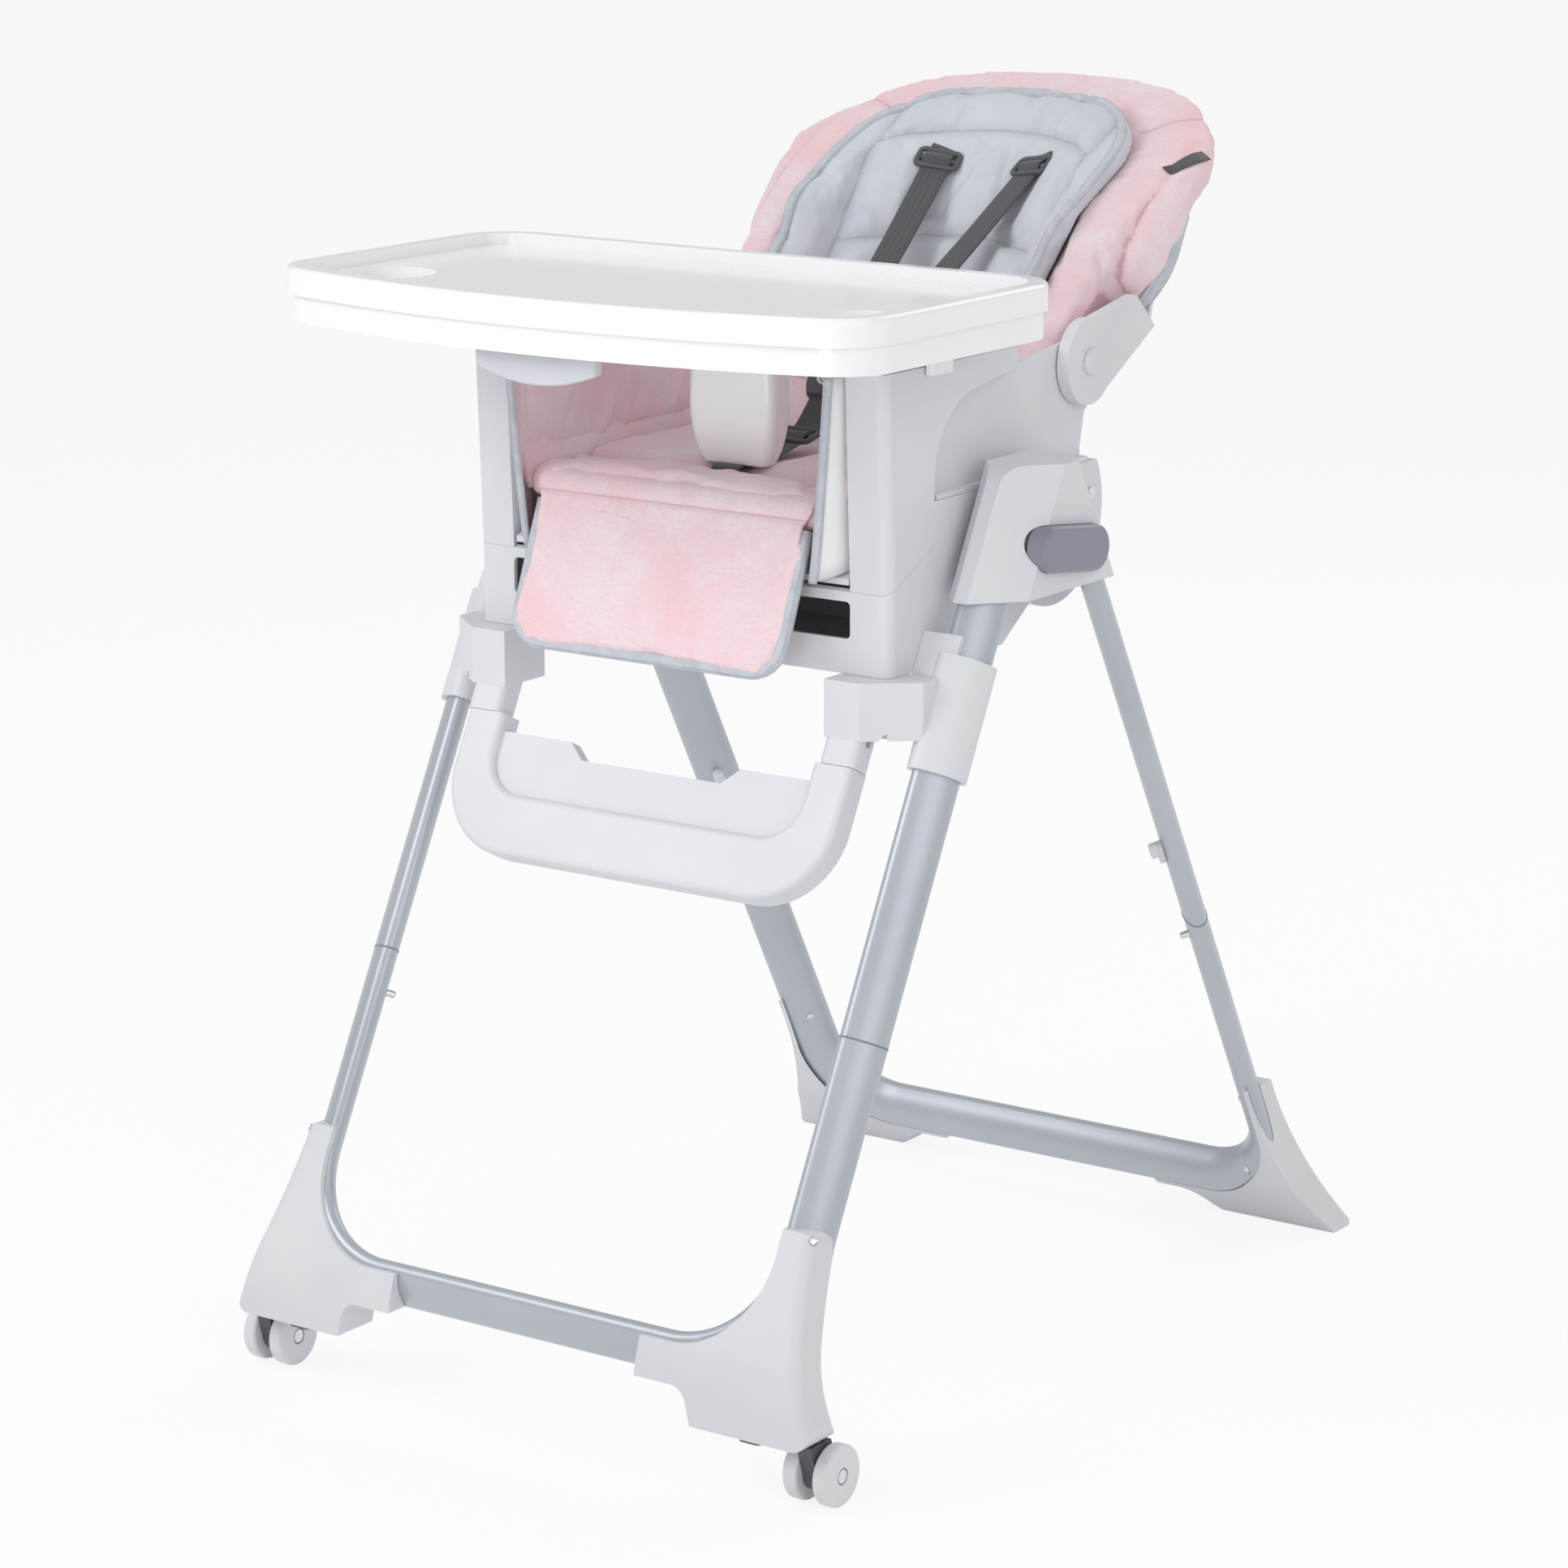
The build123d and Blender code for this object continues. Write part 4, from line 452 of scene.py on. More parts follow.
def inflate(piece, recipe, held, capAt=None):
    # cloth under pressure, sewn down where held() says so, and capped in how far it moves
    mesh = piece.data
    start = [v.co.copy() for v in mesh.vertices]
    group = piece.vertex_groups.new(name="sewn")
    for v in mesh.vertices:
        weight = held(v.co)
        if weight > 0.01:
            group.add([v.index], min(weight, 1.0), "REPLACE")
    cloth = piece.modifiers.new("Cloth", "CLOTH")
    settings = cloth.settings
    settings.quality = clothRun["quality"]
    settings.mass = clothRun["mass"]
    settings.tension_stiffness = clothRun["stretch"]
    settings.compression_stiffness = clothRun["stretch"]
    settings.bending_stiffness = clothRun["bend"]
    settings.use_pressure = True
    settings.uniform_pressure_force = recipe["pressure"]
    settings.shrink_min = clothRun["slack"]
    settings.effector_weights.gravity = 0
    settings.vertex_group_mass = "sewn"
    cloth.collision_settings.use_collision = False
    cloth.collision_settings.use_self_collision = False
    cloth.point_cache.frame_start = 1
    cloth.point_cache.frame_end = clothRun["frames"]
    for step in range(1, clothRun["frames"] + 1):
        scene.frame_set(step)
    shaped = piece.evaluated_get(bpy.context.evaluated_depsgraph_get())
    moved = [v.co.copy() for v in shaped.data.vertices]
    piece.modifiers.remove(cloth)
    piece.vertex_groups.remove(group)
    scene.frame_set(1)
    for v, old, new in zip(mesh.vertices, start, moved):
        shift = new - old
        cap = capAt(old) if capAt else recipe["cap"]
        if shift.length > cap:
            shift *= cap / shift.length
        v.co = old + shift


def sew(piece, seams, depth, width, pucker=0.0, reach=0.02):
    # draws a groove along each seam, with small puckers beside it, and marks it for the finish
    mesh = piece.data
    mark = mesh.attributes.new("seam", "FLOAT", "POINT")
    normals = [v.normal.copy() for v in mesh.vertices]
    for v, normal in zip(mesh.vertices, normals):
        near = min((abs(seam(v.co)) for seam in seams), default=1.0)
        pull = bell(near / width)
        mark.data[v.index].value = pull
        beside = bell(near / reach) if pucker else 0.0
        fold = noise.noise(v.co * 85.0) if beside > 0.02 else 0.0
        v.co += normal * (pucker * fold * beside - depth * pull)


def finishSoft(piece, finish, body, fill, *replaced):
    piece.data.materials.clear()
    piece.data.materials.append(finishes[finish])
    smooth(piece)
    fine = piece.modifiers.new("Subdivision", "SUBSURF")
    fine.levels = 1
    fine.render_levels = 1
    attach(piece, body)
    if replaced:
        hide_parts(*replaced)
    print(piece.name, "made:", len(piece.data.vertices), "points")
    return piece


def smoothRun(points, count):
    # a Catmull-Rom run through a few points
    ends = [points[0] * 2 - points[1], *points, points[-1] * 2 - points[-2]]
    run = []
    for k in range(1, len(ends) - 2):
        a, b, c, d = ends[k - 1:k + 3]
        for j in range(count):
            s = j / count
            run.append(0.5 * ((2 * b) + (c - a) * s + (2 * a - 5 * b + 4 * c - d) * s * s
                              + (3 * b - a - 3 * c + d) * s ** 3))
    return run + [points[-1]]


def sweepBand(name, points, faces, width, thick, finish, body=None, closed=False, sides=8, square=0.6):
    # sweeps a rounded flat ring along a line; faces says which way its flat side looks
    def squared(value, size):
        return math.copysign(abs(value) ** square, value) * size / 2

    count = len(points)
    bm = bmesh.new()
    layer = bm.loops.layers.uv.new("UVMap")
    ring = bmesh.ops.create_circle(bm, segments=sides, radius=1.0)["verts"]
    flat = [Vector((squared(v.co.x, width), squared(v.co.y, thick), 0)) for v in ring]
    places = []
    for k, point in enumerate(points):
        after = points[(k + 1) % count] if closed else points[min(k + 1, count - 1)]
        before = points[k - 1] if closed else points[max(k - 1, 0)]
        along = (after - before).normalized()
        across = along.cross(faces[k]).normalized()
        face = across.cross(along)
        places.append(Matrix((across, face, along)).transposed().to_4x4())
        places[-1].translation = point
    spots = {}
    run = 0.0
    edges = list(dict.fromkeys(e for v in ring for e in v.link_edges))
    first = list(ring)
    for k in range(count):
        if k:
            run += (points[k] - points[k - 1]).length
            made = bmesh.ops.extrude_edge_only(bm, edges=edges)["geom"]
            fresh = [g for g in made if isinstance(g, bmesh.types.BMVert)]
            order = {v: next(e.other_vert(v) for e in v.link_edges if e.other_vert(v) in spots)
                     for v in fresh}
            ring = [next(v for v in fresh if order[v] is old) for old in ring]
            edges = [g for g in made if isinstance(g, bmesh.types.BMEdge)
                     and g.verts[0] in order and g.verts[1] in order]
        for j, v in enumerate(ring):
            v.co = places[k] @ flat[j]
            spots[v] = (j / sides, run)
    if closed:
        start = [e for e in bm.edges if e.verts[0] in first and e.verts[1] in first]
        bmesh.ops.bridge_loops(bm, edges=edges + start)
    else:
        bmesh.ops.holes_fill(bm, edges=[e for e in bm.edges if e.is_boundary], sides=0)
    bmesh.ops.recalc_face_normals(bm, faces=bm.faces)
    for face in bm.faces:
        turns = [spots[loop.vert][0] for loop in face.loops]
        wraps = max(turns) - min(turns) > 0.5
        for loop in face.loops:
            turn, length = spots[loop.vert]
            loop[layer].uv = (turn + 1.0 if wraps and turn < 0.5 else turn, length)
    piece = pieceFrom(bm, name, finish)
    smooth(piece)
    if body:
        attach(piece, body)
    return piece


def roundedLoop(halfWide, halfHigh, corner, steps=5):
    # points round a rounded rectangle
    loop = []
    for k, (sx, sy) in enumerate(((1, 1), (-1, 1), (-1, -1), (1, -1))):
        for j in range(steps + 1):
            turn = math.pi / 2 * (k + j / steps)
            loop.append((sx * (halfWide - corner) + corner * math.cos(turn),
                         sy * (halfHigh - corner) + corner * math.sin(turn)))
    return loop


# Back pad: pink cover with bolsters that fall away to the rim
backPad = {"voxel": 0.005, "shrink": 0.002, "pressure": 3.0, "cap": 0.006, "lowCap": 0.0025,
           "panel": 0.190, "corner": (0.118, 0.268), "groove": 0.0028, "grooveWide": 0.0045, "pucker": 0.0012}
padTrim = {"tag": [(0.187, 0.208), (0.192, 0.216), (0.197, 0.224), (0.202, 0.232), (0.206, 0.239)],
           "tagWide": 0.015, "tagThick": 0.0012, "tagLift": 0.0008,
           "hem": (0.055, 0.195), "hemSteps": 15, "hemWide": 0.017, "hemThick": 0.006, "hemReach": 0.007,
           "tuck": 0.009, "tuckMore": 0.014}


def trimBackPad(pad):
    # a bare side tag, and the grey hem that shows behind the wings' lower edges
    skin = skinOf(pad)
    points, faces = [], []
    for x, t in padTrim["tag"]:
        hit, normal, _, _ = skin.ray_cast(backPoint(x, t, 0.2), -backFace)
        points.append(hit + normal * padTrim["tagLift"])
        faces.append(normal)
    sweepBand("sideTag", points, faces, padTrim["tagWide"], padTrim["tagThick"], "dark_webbing", "back",
              square=0.3, sides=12)
    places = [backPlace(v.co) for v in pad.data.vertices]
    low, high = padTrim["hem"]
    for side, name in ((-1, "hemLeft"), (1, "hemRight")):
        points = []
        for k in range(padTrim["hemSteps"] + 1):
            t = low + (high - low) * k / padTrim["hemSteps"]
            rim = max((p for p in places if abs(p[1] - t) < 0.006), key=lambda p: p[0] * side)
            upper = max(0.0, k / padTrim["hemSteps"] - 0.7) / 0.3  # the upper end goes in behind the pad
            tuck = padTrim["tuck"] + padTrim["tuckMore"] * upper
            points.append(backPoint(rim[0] - side * (tuck - padTrim["hemReach"]), t, rim[2] - tuck))
        for _ in range(3):
            inner = [(a + b * 2 + c) / 4 for a, b, c in zip(points, points[1:], points[2:])]
            points = [points[0], *inner, points[-1]]
        sweepBand(name, points, [Vector((side, 0, 0))] * len(points),
                  padTrim["hemWide"], padTrim["hemThick"], "binding", "back")


def makeBackPad():
    piece = softCopy("back_pad", "backPad", backPad, 4)

    def outerSeam(co):
        x, t, n = backPlace(co)
        sewn = n > -0.052 and t < 0.262
        return abs(x) - backPad["panel"] + 0.10 * max(0.0, 0.10 - t) if sewn else 1.0

    def cornerSeam(co):
        x, t, n = backPlace(co)
        wide, high = backPad["corner"]
        return 0.45 * (abs(x) - wide) - 0.9 * (t - high) if abs(x) > wide and n > -0.07 else 1.0

    def held(co):
        x, t, n = backPlace(co)
        covered = abs(x) < 0.134 and 0.052 < t < 0.29 and n > -0.06
        return 1.0 if covered or n < -0.062 else 0.0

    def capAt(co):
        return backPad["lowCap"] if backPlace(co)[1] < 0.09 else backPad["cap"]

    inflate(piece, backPad, held, capAt)
    sew(piece, [outerSeam, cornerSeam], backPad["groove"], backPad["grooveWide"], backPad["pucker"])
    finishSoft(piece, "pink_fabric", "back", 0.7, "back_pad")
    trimBackPad(piece)


# Grey insert with a head panel, two bolsters and a sewn waist, bound round its edge
backInsert = {"voxel": 0.004, "shrink": 0.0015, "pressure": 5.0, "cap": 0.008, "pressed": 0.0008,
              "bolster": (0.092, 0.112), "height": 0.28, "head": (0.257, 0.043), "waist": (0.141, 0.036),
              "tuft": (0.041, 0.156), "strapLow": 0.014, "strapRise": 0.157, "strapHalf": 0.014,
              "groove": 0.0034, "grooveWide": 0.0055, "pucker": 0.0011, "tape": 0.0095, "tapeThick": 0.0042,
              "edge": [(0.1305, 0.050), (0.1305, 0.084), (0.1335, 0.11), (0.136, 0.13), (0.136, 0.20),
                       (0.1245, 0.249), (0.089, 0.2865), (0.045, 0.2965), (0.0, 0.299)]}


def insertSeams():
    def seamAt(t):
        low, high = backInsert["bolster"]
        return low + (high - low) * clamp(t / backInsert["height"])

    def bolsterSeam(co):
        x, t, n = backPlace(co)
        return abs(x) - seamAt(t)

    def arcSeam(top, drop):
        def away(co):
            x, t, n = backPlace(co)
            half = seamAt(t)
            return t - (top - drop * (x / half) ** 2) if abs(x) < half else 1.0
        return away

    return [bolsterSeam, arcSeam(*backInsert["head"]), arcSeam(*backInsert["waist"])]


def makeBackInsert():
    seams = insertSeams()
    piece = softCopy("back_insert", "backInsert", backInsert, 2)
    bed = {"radius": 0.1994, "centre": 0.1494, "skin": 0.005}

    def held(co):
        x, t, n = backPlace(co)
        behind = n < bed["centre"] - math.sqrt(max(0.0, bed["radius"] ** 2 - x * x)) + bed["skin"]
        return 1.0 if behind or min(abs(s(co)) for s in seams) < 0.003 else 0.0

    def tuft(co):
        x, t, n = backPlace(co)
        return math.hypot(0.35 * (abs(x) - backInsert["tuft"][0]), t - backInsert["tuft"][1])

    def underStrap(co):
        # the webbing presses the padding down along its run
        x, t, n = backPlace(co)
        aside = abs(abs(x) - backInsert["strapLow"] - backInsert["strapRise"] * t)
        free = clamp((aside - backInsert["strapHalf"]) / backInsert["strapHalf"]) if t < 0.245 else 1.0
        return backInsert["pressed"] + (backInsert["cap"] - backInsert["pressed"]) * free

    inflate(piece, backInsert, held, underStrap)
    sew(piece, seams + [tuft], backInsert["groove"], backInsert["grooveWide"], backInsert["pucker"])
    finishSoft(piece, "grey_fabric", "back", 0.75, "back_insert")
    skin = skinOf(piece)
    half = [Vector((x, t, 0)) for x, t in backInsert["edge"]]
    route = [Vector((-p.x, p.y, 0)) for p in half] + half[-2::-1]
    points, faces = [], []
    for spot in smoothRun(route, 8):
        hit, normal, _, _ = skin.ray_cast(backPoint(spot.x, spot.y, 0.2), -backFace)
        if hit is None:
            hit, normal, _, _ = skin.find_nearest(backPoint(spot.x, spot.y, 0.03))
        points.append(hit + normal * 0.0002)
        faces.append(normal)
    beside = zip(points, points[:1] + points[:-1], points[1:] + points[-1:])
    points = [a.lerp((b + c) / 2, 0.5) for a, b, c in beside]
    sweepBand("insertBinding", points, faces, backInsert["tape"], backInsert["tapeThick"], "binding", "back")


# Seat cushion with a sewn front roll and a dimple where the strap comes up
seatCushion = {"voxel": 0.005, "shrink": 0.002, "pressure": 4.0, "cap": 0.007, "pressed": 0.0008,
               "channel": -0.140, "dimple": (0.0, -0.132), "sink": 0.0035, "crease": 0.0014, "strap": 0.016,
               "groove": 0.003, "grooveWide": 0.008, "pucker": 0.0016, "reach": 0.025}


def makeSeatCushion():
    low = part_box("seat_cushion")[0]
    piece = softCopy("seat_cushion", "seatCushion", seatCushion, 2)
    dimpleX, dimpleY = seatCushion["dimple"]

    def roll(co):
        across = 0.010 * math.cos(co.x * 18.0)
        return co.y - seatCushion["channel"] - across if co.z > low.z + 0.012 else 1.0

    def held(co):
        return 1.0 if co.z < low.z + 0.006 or abs(roll(co)) < 0.004 else 0.0

    def underStrap(co):
        free = clamp((abs(co.x) - seatCushion["strap"]) / 0.02) if -0.145 < co.y < 0.03 else 1.0
        return seatCushion["pressed"] + (seatCushion["cap"] - seatCushion["pressed"]) * free

    inflate(piece, seatCushion, held, underStrap)
    for v in piece.data.vertices:
        if v.co.z > low.z + 0.015:
            away = math.hypot(v.co.x - dimpleX, v.co.y - dimpleY)
            turn = math.atan2(v.co.y - dimpleY, v.co.x)
            ripple = math.sin(turn * 7.0 + 1.3) * bell((away - 0.035) / 0.022)
            crease = wave(v.co.x * 30.0, v.co.y * 14.0, 4.0) * min(1.0, abs(v.co.x) / 0.03)
            v.co.z += seatCushion["crease"] * (ripple + crease) - seatCushion["sink"] * bell(away / 0.012)
    sew(piece, [roll], *(seatCushion[key] for key in ("groove", "grooveWide", "pucker", "reach")))
    finishSoft(piece, "pink_fabric", "seat", 0.7, "seat_cushion")


# Side pads inside the arms, with wings that fold forward past the posts
sidePads = {"voxel": 0.005, "shrink": 0.0012, "pressure": 3.0, "cap": 0.003, "gather": 0.0055, "outer": 0.166}
sideWings = {"low": 0.694, "high": 0.846, "columns": 6, "rows": 14, "inLow": 0.142, "inHigh": 0.159,
             "front": -0.2125, "outX": 0.1655, "outY": -0.176, "thick": 0.0032,
             "tape": 0.0075, "tapeThick": 0.0062}


def makeSidePads():
    piece = softCopy("side_pads", "sidePads", sidePads, 0)
    inflate(piece, sidePads, lambda co: 1.0 if abs(co.x) > sidePads["outer"] else 0.0)
    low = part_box("side_pads")[0]
    for v in piece.data.vertices:  # folds that fan up and back from the seat seam
        if abs(v.co.x) < sidePads["outer"]:
            height = v.co.z - low.z
            rise = max(0.0, 1.0 - height / 0.16)
            back = clamp((v.co.y - low.y) / 0.10)
            fold = wave(v.co.y * 62.0 - height * 34.0, height * 9.0, 3.0)
            v.co.x -= math.copysign(sidePads["gather"] * fold * rise * (0.35 + 0.65 * back), v.co.x)
    sew(piece, [], 0.0, 0.01)
    finishSoft(piece, "pink_fabric", "seat", 0.5, "side_pads")


def makeSideWings():
    for side, name in ((-1, "wingLeft"), (1, "wingRight")):
        bm = gridOf(sideWings)
        edge = {}
        for v in bm.verts:
            s, h = v.co.x + 0.5, v.co.y + 0.5
            inX = sideWings["inLow"] + (sideWings["inHigh"] - sideWings["inLow"]) * h ** 0.8
            inner = Vector((inX, sideWings["front"] - 0.004 * h, 0))
            outer = Vector((sideWings["outX"], sideWings["outY"], 0))
            spot = inner.lerp(outer, s) + Vector((0.004, -0.003, 0)) * math.sin(math.pi * s)
            z = sideWings["low"] + (sideWings["high"] - sideWings["low"]) * h - 0.012 * (1 - h) * (1 - s)
            v.co = Vector((side * spot.x, spot.y, z))
            if s < 0.01:
                edge[h] = v.co.copy()
        faceTowards(bm, Vector((side, 0, 0)))
        piece = pieceFrom(bm, name, "lining")
        piece.data.materials.append(finishes["pink_fabric"])
        body = thicken(piece, sideWings["thick"])
        body.material_offset = 1
        body.material_offset_rim = 1
        smooth(piece)
        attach(piece, "seat")
        points = smoothRun([edge[h] for h in sorted(edge)], 3)
        sweepBand(name + "Binding", points, [Vector((side * 0.75, -0.66, 0))] * len(points),
                  sideWings["tape"], sideWings["tapeThick"], "binding", "seat")


# Leg flap, bound on three sides
legFlap = {"voxel": 0.004, "shrink": 0.001, "pressure": 2.5, "cap": 0.0035, "gather": 0.0034,
           "pucker": 0.0020, "half": 0.134, "length": 0.122, "round": 0.028, "inset": 0.003,
           "lean": math.radians(21.5), "tape": 0.0105, "tapeThick": 0.0098}
flapUp, flapFace = leaning(legFlap["lean"])


def makeLegFlap():
    low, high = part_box("leg_flap")
    piece = softCopy("leg_flap", "legFlap", legFlap, 1)
    inflate(piece, legFlap, lambda co: 0.0)
    for v in piece.data.vertices:  # gathers that hang from the seam
        drop = (high.z - v.co.z) / (high.z - low.z)
        fold = wave(v.co.x * 48.0, drop * 1.2, 7.0) + 0.6 * wave(v.co.x * 120.0, drop * 2.0, 2.0)
        rim = wave(v.co.x * 130.0, drop * 3.0, 1.0) * bell((1.0 - drop) / 0.30)
        if v.normal.y < -0.3:
            v.co += v.normal * (legFlap["gather"] * fold * (1.0 - 0.5 * drop) + legFlap["pucker"] * rim)
    sew(piece, [], 0.0, 0.01)
    finishSoft(piece, "pink_fabric", "seat", 0.45, "leg_flap")
    middle = (low + high) / 2
    inset, halfLong = legFlap["inset"], legFlap["length"] / 2
    loop = roundedLoop(legFlap["half"] - inset, halfLong - inset, legFlap["round"] - inset, 6)
    tail = [(legFlap["half"] - inset, y) for y in (0.060, 0.045, 0.03, 0.0, -0.02)]
    lower = [p for p in loop if p[1] < -halfLong + legFlap["round"] + 0.001]
    bottom = [(x, -halfLong + inset) for x in (-0.08, -0.04, 0.0, 0.04, 0.08)]
    left = [p for p in lower if p[0] < 0]
    right = [p for p in lower if p[0] > 0]
    route = [(-x, y) for x, y in tail] + left + bottom + right + tail[::-1]
    points = [middle + Vector((x, 0, 0)) + flapUp * y for x, y in route]
    sweepBand("flapBinding", points, [flapFace] * len(points), legFlap["tape"], legFlap["tapeThick"],
              "binding", "seat", square=0.75)


# Front of the seat, where the cushion cover runs over the edge and is sewn to the flap
flapHead = {"half": 0.1365, "taper": 0.007, "columns": 110, "rows": 18, "seam": 0.45, "seamWide": 0.045,
            "reach": 0.32, "sink": 0.0032, "gather": 0.0040, "thick": 0.004,
            "over": [(0.016, -0.0035), (0.004, -0.007), (-0.0035, -0.018)],
            "down": [(0.060, 0.0068), (0.045, 0.0066), (0.020, 0.0005)]}


def makeFlapHead():
    low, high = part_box("leg_flap")
    middle = (low + high) / 2
    seatLow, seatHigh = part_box("seat_cushion")
    route = [Vector((0, seatLow.y + y, seatHigh.z + z)) for y, z in flapHead["over"]]
    route += [middle + flapUp * up + flapFace * out for up, out in flapHead["down"]]
    line = smoothRun(route, 12)
    bm = gridOf(flapHead)
    mark = bm.verts.layers.float.new("seam")
    for v in bm.verts:
        s = 0.5 - v.co.y
        x = v.co.x * 2 * (flapHead["half"] - flapHead["taper"] * clamp((s - 0.35) * 6.0))
        place = s * (len(line) - 1)
        k = min(int(place), len(line) - 2)
        spot = line[k].lerp(line[k + 1], place - k)
        ahead = (line[k + 1] - line[k]).normalized()
        out = Vector((1, 0, 0)).cross(ahead)
        out = out if out.y < 0 else -out
        near = bell((s - flapHead["seam"]) / flapHead["seamWide"])
        beside = bell((s - flapHead["seam"]) / flapHead["reach"])
        fold = wave(x * 95.0, s * 2.2, 5.0) + 0.5 * wave(x * 210.0, s * 3.0, 8.0)
        v[mark] = near
        lift = flapHead["gather"] * fold * beside * (0.5 + 0.5 * s) - flapHead["sink"] * near
        v.co = spot + Vector((x, 0, 0)) + out * lift
    faceTowards(bm, Vector((0, -1, 0)))
    piece = pieceFrom(bm, "flapHead")
    thicken(piece, flapHead["thick"])
    finishSoft(piece, "pink_fabric", "seat", 0.4)


# Gussets that join the side pads to the cushion
sideGussets = {"x": 0.1595, "z": 0.748, "wide": 0.046, "thick": 0.007, "from": -0.197, "to": 0.062,
               "steps": 40, "gather": 0.0014}


def makeSideGussets():
    for side, name in ((-1, "gussetLeft"), (1, "gussetRight")):
        run = []
        for k in range(sideGussets["steps"] + 1):
            y = sideGussets["from"] + (sideGussets["to"] - sideGussets["from"]) * k / sideGussets["steps"]
            fold = sideGussets["gather"] * wave(y * 70.0, side, 2.0)
            run.append(Vector((side * (sideGussets["x"] - fold), y, sideGussets["z"])))
        faces = [Vector((-side, 0, 0.35)).normalized()] * len(run)
        piece = sweepBand(name, run, faces, sideGussets["wide"], sideGussets["thick"], "pink_fabric", "seat",
                          square=0.8, sides=16)


# The cover runs on from the cushion to the foot of the back
backGusset = {"half": 0.157, "columns": 40, "rows": 14, "thick": 0.004, "dish": (0.1494, 0.1994),
              "crest": 0.015, "reach": 0.014, "below": -0.028, "sink": 0.004, "crease": 0.0016}


def makeBackGusset():
    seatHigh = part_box("seat_cushion")[1]
    bm = gridOf(backGusset)
    for v in bm.verts:
        x, s = v.co.x * 2 * backGusset["half"], v.co.y + 0.5
        centre, radius = backGusset["dish"]
        lift = min(backGusset["crest"], centre - math.sqrt(radius ** 2 - x * x))
        top = backPoint(x, backGusset["reach"], lift - backGusset["sink"])
        foot = backPoint(x, backGusset["below"], lift - backGusset["sink"] - 0.002)
        start = Vector((x, seatHigh.y - 0.024, seatHigh.z - 0.006))
        edge = Vector((x, seatHigh.y - 0.004, seatHigh.z - 0.004))
        spot = start * (1 - s) ** 3 + edge * 3 * s * (1 - s) ** 2 + foot * 3 * s * s * (1 - s) + top * s ** 3
        v.co = spot + Vector((0, 0, backGusset["crease"] * wave(x * 60.0, s * 3.0, 1.0)))
    faceTowards(bm, Vector((0, 0, 1)))
    piece = pieceFrom(bm, "backGusset", "pink_fabric")
    thicken(piece, backGusset["thick"])
    smooth(piece)
    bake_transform(piece)


makeBackGusset()
makeBackPad()
makeBackInsert()
makeSeatCushion()
makeSidePads()
makeSideGussets()
makeSideWings()
makeLegFlap()
makeFlapHead()
print("soft goods made")

# Harness webbing
flatCut = {"square": 0.35, "sides": 12}
shoulderStraps = {"width": 0.027, "thick": 0.0018, "x": 0.049, "top": 0.222, "lift": -0.0255,
                  "turn": math.radians(15.2), "buckle": (0.015, 0.030, 0.815), "sag": 0.006}
slides = {"halfWide": 0.0185, "strapHigh": 0.0098, "adjusterHigh": 0.0115, "corner": 0.0042, "rim": 0.0046,
          "barThick": 0.0034, "barIn": 0.001, "webWide": 0.0255, "webThick": 0.0016,
          "turn": [(-0.95, -0.0012), (-0.5, 0.0012), (0.0, 0.0028), (0.5, 0.0012), (0.95, -0.0012)]}


def makeShoulderStraps():
    for side, name in ((-1, "strapLeft"), (1, "strapRight")):
        x, top, lift = side * shoulderStraps["x"], shoulderStraps["top"], shoulderStraps["lift"]
        tilt = shoulderStraps["turn"]
        buckleX, buckleY, buckleZ = shoulderStraps["buckle"]
        slot = backPoint(x, top + 0.010, lift - 0.010)
        lip = backPoint(x, top + 0.002, lift - 0.001)
        over = backPoint(x * 0.96, top - 0.018, lift + 0.003)
        buckle = Vector((side * buckleX, buckleY, buckleZ))
        middle = over.lerp(buckle, 0.5) - Vector((0, 0, shoulderStraps["sag"]))
        run = smoothRun([slot, lip, over, middle, buckle], 12)
        away = (backFace * math.cos(tilt) - Vector((side, 0, 0)) * math.sin(tilt)).normalized()
        upright = Vector((0, -0.55, 0.835))
        last = len(run) - 1
        faces = [away.lerp(upright, max(0.0, k / last - 0.4) / 0.6).normalized() for k in range(len(run))]
        piece = sweepBand(name, run, faces, shoulderStraps["width"], shoulderStraps["thick"],
                          "dark_webbing", **flatCut)
        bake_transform(piece)
        if side < 0:
            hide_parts("shoulder_straps")
        along = (run[26] - run[22]).normalized()
        centre = backPoint(x * 0.985, top - 0.012, lift + 0.0035)
        replaced = ["strap_slides"] if side < 0 else []
        makeLadder("slide" + name[5:], centre, away, along, slides["strapHigh"], "back", replaced)


def makeLadder(name, centre, face, along, halfHigh, body, replaced):
    # a moulded slide: a rounded frame with a bar across, and the webbing turn that shows in it
    across = along.cross(face).normalized()
    face = across.cross(along)
    halfWide, rim = slides["halfWide"], slides["rim"]
    loop = [centre + across * u + along * v for u, v in roundedLoop(halfWide, halfHigh, slides["corner"])]
    piece = sweepBand(name, loop, [face] * len(loop), rim, rim, "dark_plastic", body,
                      closed=True, square=0.75)
    if replaced:
        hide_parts(*replaced)
    half, off = halfWide - slides["barIn"], along * slides["barIn"]
    bar = [centre + across * half * s + off for s in (-1, -0.5, 0, 0.5, 1)]
    sweepBand(name + "Bar", bar, [face] * len(bar), rim, slides["barThick"], "dark_plastic", body, square=0.7)
    turn = smoothRun([centre + along * (halfHigh * v) + face * lift for v, lift in slides["turn"]], 4)
    sweepBand(name + "Turn", turn, [face] * len(turn), slides["webWide"], slides["webThick"],
              "dark_webbing", body, **flatCut)


makeShoulderStraps()

